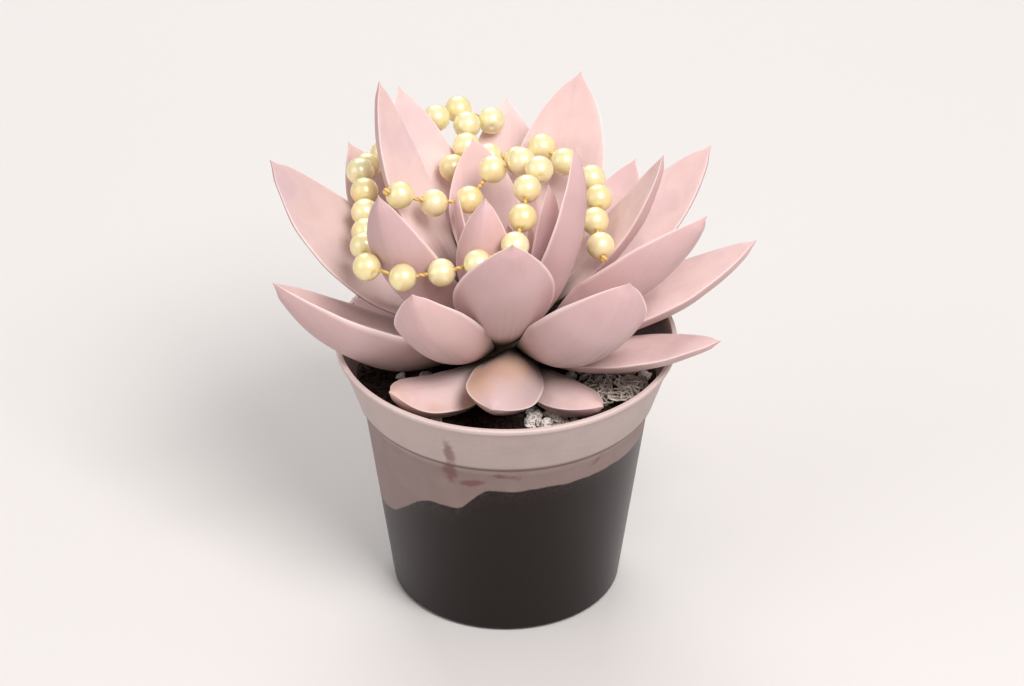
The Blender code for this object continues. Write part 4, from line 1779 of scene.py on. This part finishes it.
@dataclass
class Heart:
    """Bud of small upright leaves at the middle of the rosette."""

    rosette: Rosette
    leaves: int = 8
    foot: float = 84.2 * MM
    reach: Pair = (30.0 * MM, 12.0 * MM)
    breadth: Pair = (9.0 * MM, 4.0 * MM)
    depth: Pair = (3.0 * MM, 2.0 * MM)
    rise: Pair = (74.0, 86.0)
    radius: Pair = (4.0 * MM, 1.0 * MM)
    seat: Pair = (2.5 * MM, 3.4 * MM)
    curl: float = 8.0
    # Shares of the core's radius and height from its foot up.
    core: Table = ((0.0, 0.0), (0.8, 0.0), (1.0, 0.4), (0.6, 1.0), (0.0, 1.0))
    core_radius: float = 4.6 * MM
    core_height: float = 4.5 * MM
    core_sides: int = 32
    skinner: Skinner = Skinner(32, 24)
    look: Pair = (1.0, 0.05)

    def leaf(self, place: int) -> Leaf:
        """Leaf of the bud.

        Args:
            place: Its number, counted from the outermost.

        Returns:
            The leaf.
        """
        rosette = self.rosette
        share = place / (self.leaves - 1)
        turned_by = rosette.golden_angle * (rosette.seats + place)
        azimuth = (rosette.first_azimuth - turned_by) % 360.0
        root = heading(azimuth) * between(self.radius, share)
        root.z = self.foot + between(self.seat, share)
        return Leaf(
            number=rosette.seats + place,
            root=root,
            seat_azimuth=azimuth,
            tip_azimuth=azimuth,
            rise=between(self.rise, share),
            roll=0.0,
            reach=between(self.reach, share),
            breadth=between(self.breadth, share),
            depth=between(self.depth, share),
            curl=self.curl,
            taper=rosette.taper,
            channel=rosette.channel_rule,
        )

    def dress(self) -> None:
        """Build the bud's leaves and core, and hand them over."""
        material = self.rosette.finish.material()
        leaves = [self.leaf(place) for place in range(self.leaves)]
        bud = self.skinner.skin("heart_leaves", leaves, material, self.look)
        hand_over(bud, Slot.LEAF, "heart")
        outline = [
            (wide * self.core_radius, self.foot + high * self.core_height) for wide, high in self.core
        ]
        core = mesh_object("heart_core", *turned(outline, self.core_sides), material)
        hand_over(core, Slot.LEAF, "heart")


@dataclass
class Stem:
    """Short corky stem, whose solid is kept."""

    node: str = "stem"
    finish: StemTissue = field(default_factory=StemTissue)

    def dress(self) -> None:
        """Give the solid its finish."""
        material = self.finish.material()
        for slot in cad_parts[self.node].material_slots:
            slot.material = material
        LOG.info("%s: solid kept, finish %s", self.node, material.name)


# Bead string


@dataclass
class PearlString:
    """Cream pearl beads on a thread, laid in loops among the leaves."""

    rim: float = 72.0 * MM
    bead_radius: float = 3.6 * MM
    hole_radius: float = 1.1 * MM
    dimple: float = 0.45 * MM
    segments: int = 40
    rings: int = 24
    tone_seed: int = 2
    tones: Pair = (-0.2, 0.45)
    thread_radius: float = 0.5 * MM
    thread_sides: int = 10
    knot_radius: float = 1.0 * MM
    knot_facets: int = 3
    spacing: Pair = (7.4 * MM, 10.4 * MM)
    clearance: float = 0.35 * MM
    settle_rounds: int = 300
    # Shares of each round's step that go back to the laid place, out of leaves and off beads.
    hold: float = 0.04
    push: float = 0.5
    part: float = 0.4
    inside_turn: float = -0.9
    finish: CreamPearl = field(default_factory=CreamPearl)
    thread: TwistedThread = field(default_factory=TwistedThread)

    # Where each bead is laid, in mm: right of and behind the axis, and above the rim.
    laid: tuple[Triple, ...] = (
        (24.0, -4.0, 30.0), (22.6, 3.4, 32.8), (23.6, 10.6, 35.2), (22.0, 17.8, 36.7),
        (15.0, 23.5, 38.3), (9.0, 30.6, 38.2), (3.0, 27.5, 36.4), (-5.0, 25.5, 36.5),
        (-13.8, 30.4, 32.2), (-11.5, 38.3, 33.6), (-9.3, 45.2, 36.2), (-4.8, 51.0, 33.6),
        (-12.5, 53.0, 36.4), (-18.2, 47.5, 37.0), (-25.0, 43.5, 35.0), (-31.8, 37.0, 32.5),
        (-36.0, 31.0, 32.4), (-37.5, 24.0, 35.0), (-36.3, 16.2, 33.8), (-36.0, 8.5, 32.2),
        (-35.8, 1.0, 31.0), (-35.0, -9.0, 32.5), (-32.6, -18.8, 34.0), (-25.8, -23.0, 33.0),
        (-16.3, -21.5, 33.2), (-7.0, -23.8, 37.3), (2.3, -21.8, 41.2), (4.2, -14.0, 44.6),
        (5.3, -5.2, 47.7), (8.4, 2.2, 48.8), (4.0, 9.3, 47.0), (-3.4, 11.5, 43.3),
        (-9.3, 6.6, 37.2), (-18.3, 4.3, 37.6), (-27.0, 0.5, 42.4),
    )

    def solids(self) -> list[BVHTree]:
        """Search trees over the solids of the leaves and the heart.

        Returns:
            One tree for each solid.
        """
        trees = []
        for name in sorted(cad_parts):
            if name.startswith("leaf_") or name == "heart":
                copy = bmesh.new()
                copy.from_mesh(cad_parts[name].data)
                trees.append(BVHTree.FromBMesh(copy))
                copy.free()
        return trees

    def pushed(self, centre: Vector, solids: Sequence[BVHTree]) -> Vector:
        """Step that takes a bead out of the leaves round it.

        Args:
            centre: Where the bead is.
            solids: Search trees over the leaves.

        Returns:
            The step.
        """
        need = self.bead_radius + self.clearance
        step = Vector()
        for solid in solids:
            nearest, normal, _, distance = solid.find_nearest(centre, 2.0 * need)
            if nearest is None:
                continue
            away = (centre - nearest).normalized()
            if away.dot(normal) < self.inside_turn:
                step -= away * (distance + need)
            elif distance < need:
                step += away * (need - distance)
        return step

    def spaced(self, centre: Vector, other: Vector, threaded: bool) -> Vector:
        """Step that keeps two beads from meeting, and threaded ones within reach.

        Args:
            centre: Where the bead is.
            other: Where the other bead is.
            threaded: Whether they are next to each other on the thread.

        Returns:
            The step.
        """
        apart = centre - other
        least, most = self.spacing
        if apart.length < least:
            return apart.normalized() * (least - apart.length)
        if threaded and apart.length > most:
            return apart.normalized() * (most - apart.length)
        return Vector()

    def centres(self) -> list[Vector]:
        """Bead centres, settled over the solids as they are in the part.

        Returns:
            The centres along the thread.
        """
        solids = self.solids()
        starts = [Vector((x * MM, y * MM, z * MM + self.rim)) for x, y, z in self.laid]
        found = [start.copy() for start in starts]
        for turn in range(self.settle_rounds):
            hold = self.hold * (1.0 - turn / self.settle_rounds)
            for index, centre in enumerate(found):
                step = (starts[index] - centre) * hold + self.pushed(centre, solids) * self.push
                for number, other in enumerate(found):
                    if number != index:
                        step += self.spaced(centre, other, abs(number - index) == 1) * self.part
                found[index] = centre + step
        return found

    def path(self) -> Mesh:
        """Polyline from knot to knot through the beads.

        Returns:
            The polyline, with the beads marked.
        """
        centres = self.centres()
        reach = self.bead_radius + 0.5 * self.knot_radius
        first = centres[0] + (centres[0] - centres[1]).normalized() * reach
        last = centres[-1] + (centres[-1] - centres[-2]).normalized() * reach
        places = [first, *centres, last]
        edges = [(step, step + 1) for step in range(len(places) - 1)]
        mesh = plain_mesh("string_path", places, [], edges)
        write_values(mesh, "bead", [0.0] + [1.0] * len(centres) + [0.0])
        return mesh

    def dimpled(self, grower: Grower, ball: Node) -> Node:
        """Sink a dimple into each end of a bead's hole.

        Args:
            grower: Tree to build in.
            ball: Node with a round bead.

        Returns:
            Node with the dimpled bead.
        """
        place = grower.add("InputPosition")
        x, y, z = grower.add("ShaderNodeSeparateXYZ", (place,)).outputs
        flat = grower.add("ShaderNodeCombineXYZ", (x, y))
        out = grower.add("ShaderNodeVectorMath", (flat,), operation="LENGTH")
        slope = (out, 0.0, grower.given("Hole Radius"), grower.given("Dimple"), 0.0)
        sunk = grower.add("ShaderNodeMapRange", slope, **SOFT)
        end = grower.add("ShaderNodeMath", (z,), operation="SIGN")
        inward = grower.add("ShaderNodeMath", (sunk, end), operation="MULTIPLY")
        back = grower.add("ShaderNodeMath", (inward, -1.0), operation="MULTIPLY")
        shift = grower.add("ShaderNodeCombineXYZ", {"Z": back})
        return grower.add("SetPosition", {"Geometry": ball, "Offset": shift})

    def grow_beads(self, path: Mesh) -> Item:
        """Grow the beads, turned along the thread.

        Args:
            path: Polyline with the beads marked.

        Returns:
            The beads as one object.
        """
        grower = Grower(
            "pearl_beads",
            {
                "Bead Radius": (Input.LENGTH, self.bead_radius),
                "Hole Radius": (Input.LENGTH, self.hole_radius),
                "Dimple": (Input.LENGTH, self.dimple),
                "Segments": (Input.COUNT, self.segments),
                "Rings": (Input.COUNT, self.rings),
                "Seed": (Input.COUNT, self.tone_seed),
                "Finish": (Input.FINISH, self.finish.material()),
            },
        )
        add = grower.add
        curve = add("MeshToCurve", {"Mesh": grower.given("Geometry")})
        points = add("CurveToPoints", {"Curve": curve}, mode="EVALUATED")
        marked = add("InputNamedAttribute", {"Name": "bead"}, data_type="FLOAT")
        chosen = add("ShaderNodeMath", (marked, 0.5), operation="GREATER_THAN")
        sizes = [grower.given(label) for label in ("Segments", "Rings", "Bead Radius")]
        bead = self.dimpled(grower, add("MeshUVSphere", sizes))
        turn = points.outputs["Rotation"]
        places = {"Points": points, "Selection": chosen, "Instance": bead, "Rotation": turn}
        laid = add("InstanceOnPoints", places)
        least, most = self.tones
        ends = {"Min": least, "Max": most, "Seed": grower.given("Seed")}
        drawn = add("FunctionNodeRandomValue", ends, data_type="FLOAT")
        tone = {"Geometry": laid, "Name": "tone", "Value": drawn}
        toned = add("StoreNamedAttribute", tone, data_type="FLOAT", domain="INSTANCE")
        return grower.grow(path, add("RealizeInstances", (toned,)))

    def grow_thread(self, path: Mesh) -> Item:
        """Grow the thread through the beads with a knot at each end.

        Args:
            path: Polyline with the beads marked.

        Returns:
            The thread and knots as one object.
        """
        grower = Grower(
            "pearl_thread",
            {
                "Thread Radius": (Input.LENGTH, self.thread_radius),
                "Knot Radius": (Input.LENGTH, self.knot_radius),
                "Finish": (Input.FINISH, self.thread.material()),
            },
        )
        add = grower.add
        curve = add("MeshToCurve", {"Mesh": grower.given("Geometry")})
        ring = {"Resolution": self.thread_sides, "Radius": grower.given("Thread Radius")}
        section = add("CurvePrimitiveCircle", ring, mode="RADIUS")
        tube = add("CurveToMesh", {"Curve": curve, "Profile Curve": section, "Fill Caps": True})
        marked = add("InputNamedAttribute", {"Name": "bead"}, data_type="FLOAT")
        ends = add("ShaderNodeMath", (marked, 0.5), operation="LESS_THAN")
        ball = {"Radius": grower.given("Knot Radius"), "Subdivisions": self.knot_facets}
        knot = add("MeshIcoSphere", ball)
        points = add("MeshToPoints", {"Mesh": grower.given("Geometry")})
        knots = add("InstanceOnPoints", {"Points": points, "Selection": ends, "Instance": knot})
        both = add("JoinGeometry", (tube,))
        grower.tree.links.new(knots.outputs[0], both.inputs[0])
        return grower.grow(path, add("RealizeInstances", (both,)))

    def dress(self) -> None:
        """Build the beads and their thread, and hand them over."""
        path = self.path()
        beads = self.grow_beads(path.copy())
        thread = self.grow_thread(path)
        hand_over(beads, Slot.PEARL, "pearl_string")
        hand_over(thread, Slot.PEARL, "pearl_string")


# Studio


@dataclass(frozen=True)
class SoftLight:
    """Square soft box: where it is, its side, its power in watts and its colour."""

    name: str
    place: Triple
    side: float
    power: float
    colour: str


@dataclass
class Studio:
    """Pale floor, soft light and the camera at the photograph's angle."""

    target: Triple = (1.5 * MM, 0.0, 70.0 * MM)
    facing: float = 90.0
    distance: float = 1.5
    elevation: float = 33.0
    focal_length: float = 205.0
    floor_half: float = 3.0
    ambient: str = "#F4F1F0"
    ambient_strength: float = 0.54
    lights: tuple[SoftLight, ...] = (
        SoftLight("key_box", (0.42, -0.68, 1.15), 0.6, 15.8, "#FFFBFA"),
        SoftLight("left_fill", (-1.0, -0.5, 0.7), 0.9, 3.1, "#FBF5F6"),
        SoftLight("back_box", (-0.1, 0.95, 0.85), 0.8, 7.0, "#FFFFFF"),
    )
    floor_finish: PaperFloor = field(default_factory=PaperFloor)

    def aim(self, item: Item, place: Vector) -> None:
        """Set an object at a place, facing the target.

        Args:
            item: Camera or lamp.
            place: Where it stands.
        """
        item.location = place
        item.rotation_mode = "QUATERNION"
        item.rotation_quaternion = (Vector(self.target) - place).to_track_quat("-Z", "Y")

    def set_camera(self) -> None:
        """Make the camera and give it to the scene."""
        lens = bpy.data.cameras.new("studio_camera")
        lens.lens = self.focal_length
        camera = link(bpy.data.objects.new("studio_camera", lens))
        back = -heading(self.facing, -self.elevation)
        self.aim(camera, Vector(self.target) + back * self.distance)
        bpy.context.scene.camera = camera

    def set_lights(self) -> None:
        """Make the soft boxes and the pale surroundings."""
        for light in self.lights:
            lamp = bpy.data.lights.new(light.name, "AREA")
            lamp.energy = light.power
            lamp.size = light.side
            lamp.color = linear(light.colour)[:3]
            self.aim(link(bpy.data.objects.new(light.name, lamp)), Vector(light.place))
        world = bpy.data.worlds.new("pale_surroundings")
        world.use_nodes = True
        tree = Tree(world.node_tree)
        shade = tree.add("Background", (linear(self.ambient), self.ambient_strength))
        tree.add("OutputWorld", (shade,))
        bpy.context.scene.world = world
        bpy.context.scene.view_settings.view_transform = "Standard"

    def set_floor(self) -> None:
        """Lay the floor, which isn't part of the object."""
        half = self.floor_half
        corners = [(-half, -half), (half, -half), (half, half), (-half, half)]
        places = [Vector((x, y, 0.0)) for x, y in corners]
        floor = mesh_object("studio_floor", places, [(0, 1, 2, 3)], self.floor_finish.material())
        floor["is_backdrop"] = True

    def build(self) -> None:
        """Set up the whole studio."""
        self.set_camera()
        self.set_lights()
        self.set_floor()


def main() -> None:
    """Set up the studio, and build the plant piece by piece."""
    solid_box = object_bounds()
    noise.seed_set(NOISE_SEED)
    Studio().build()
    pot = Pot()
    rosette = Rosette()
    for group in (pot, Soil(pot), Stem(), rosette, Heart(rosette), PearlString()):
        group.dress()
        LOG.info("%s done", type(group).__name__)
    boxes = {"cad": solid_box, "visual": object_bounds()}
    sizes = {name: [list(corner) for corner in box] for name, box in boxes.items()}


if __name__ == "__main__":
    logging.basicConfig(level=logging.INFO, format="%(message)s")
    main()
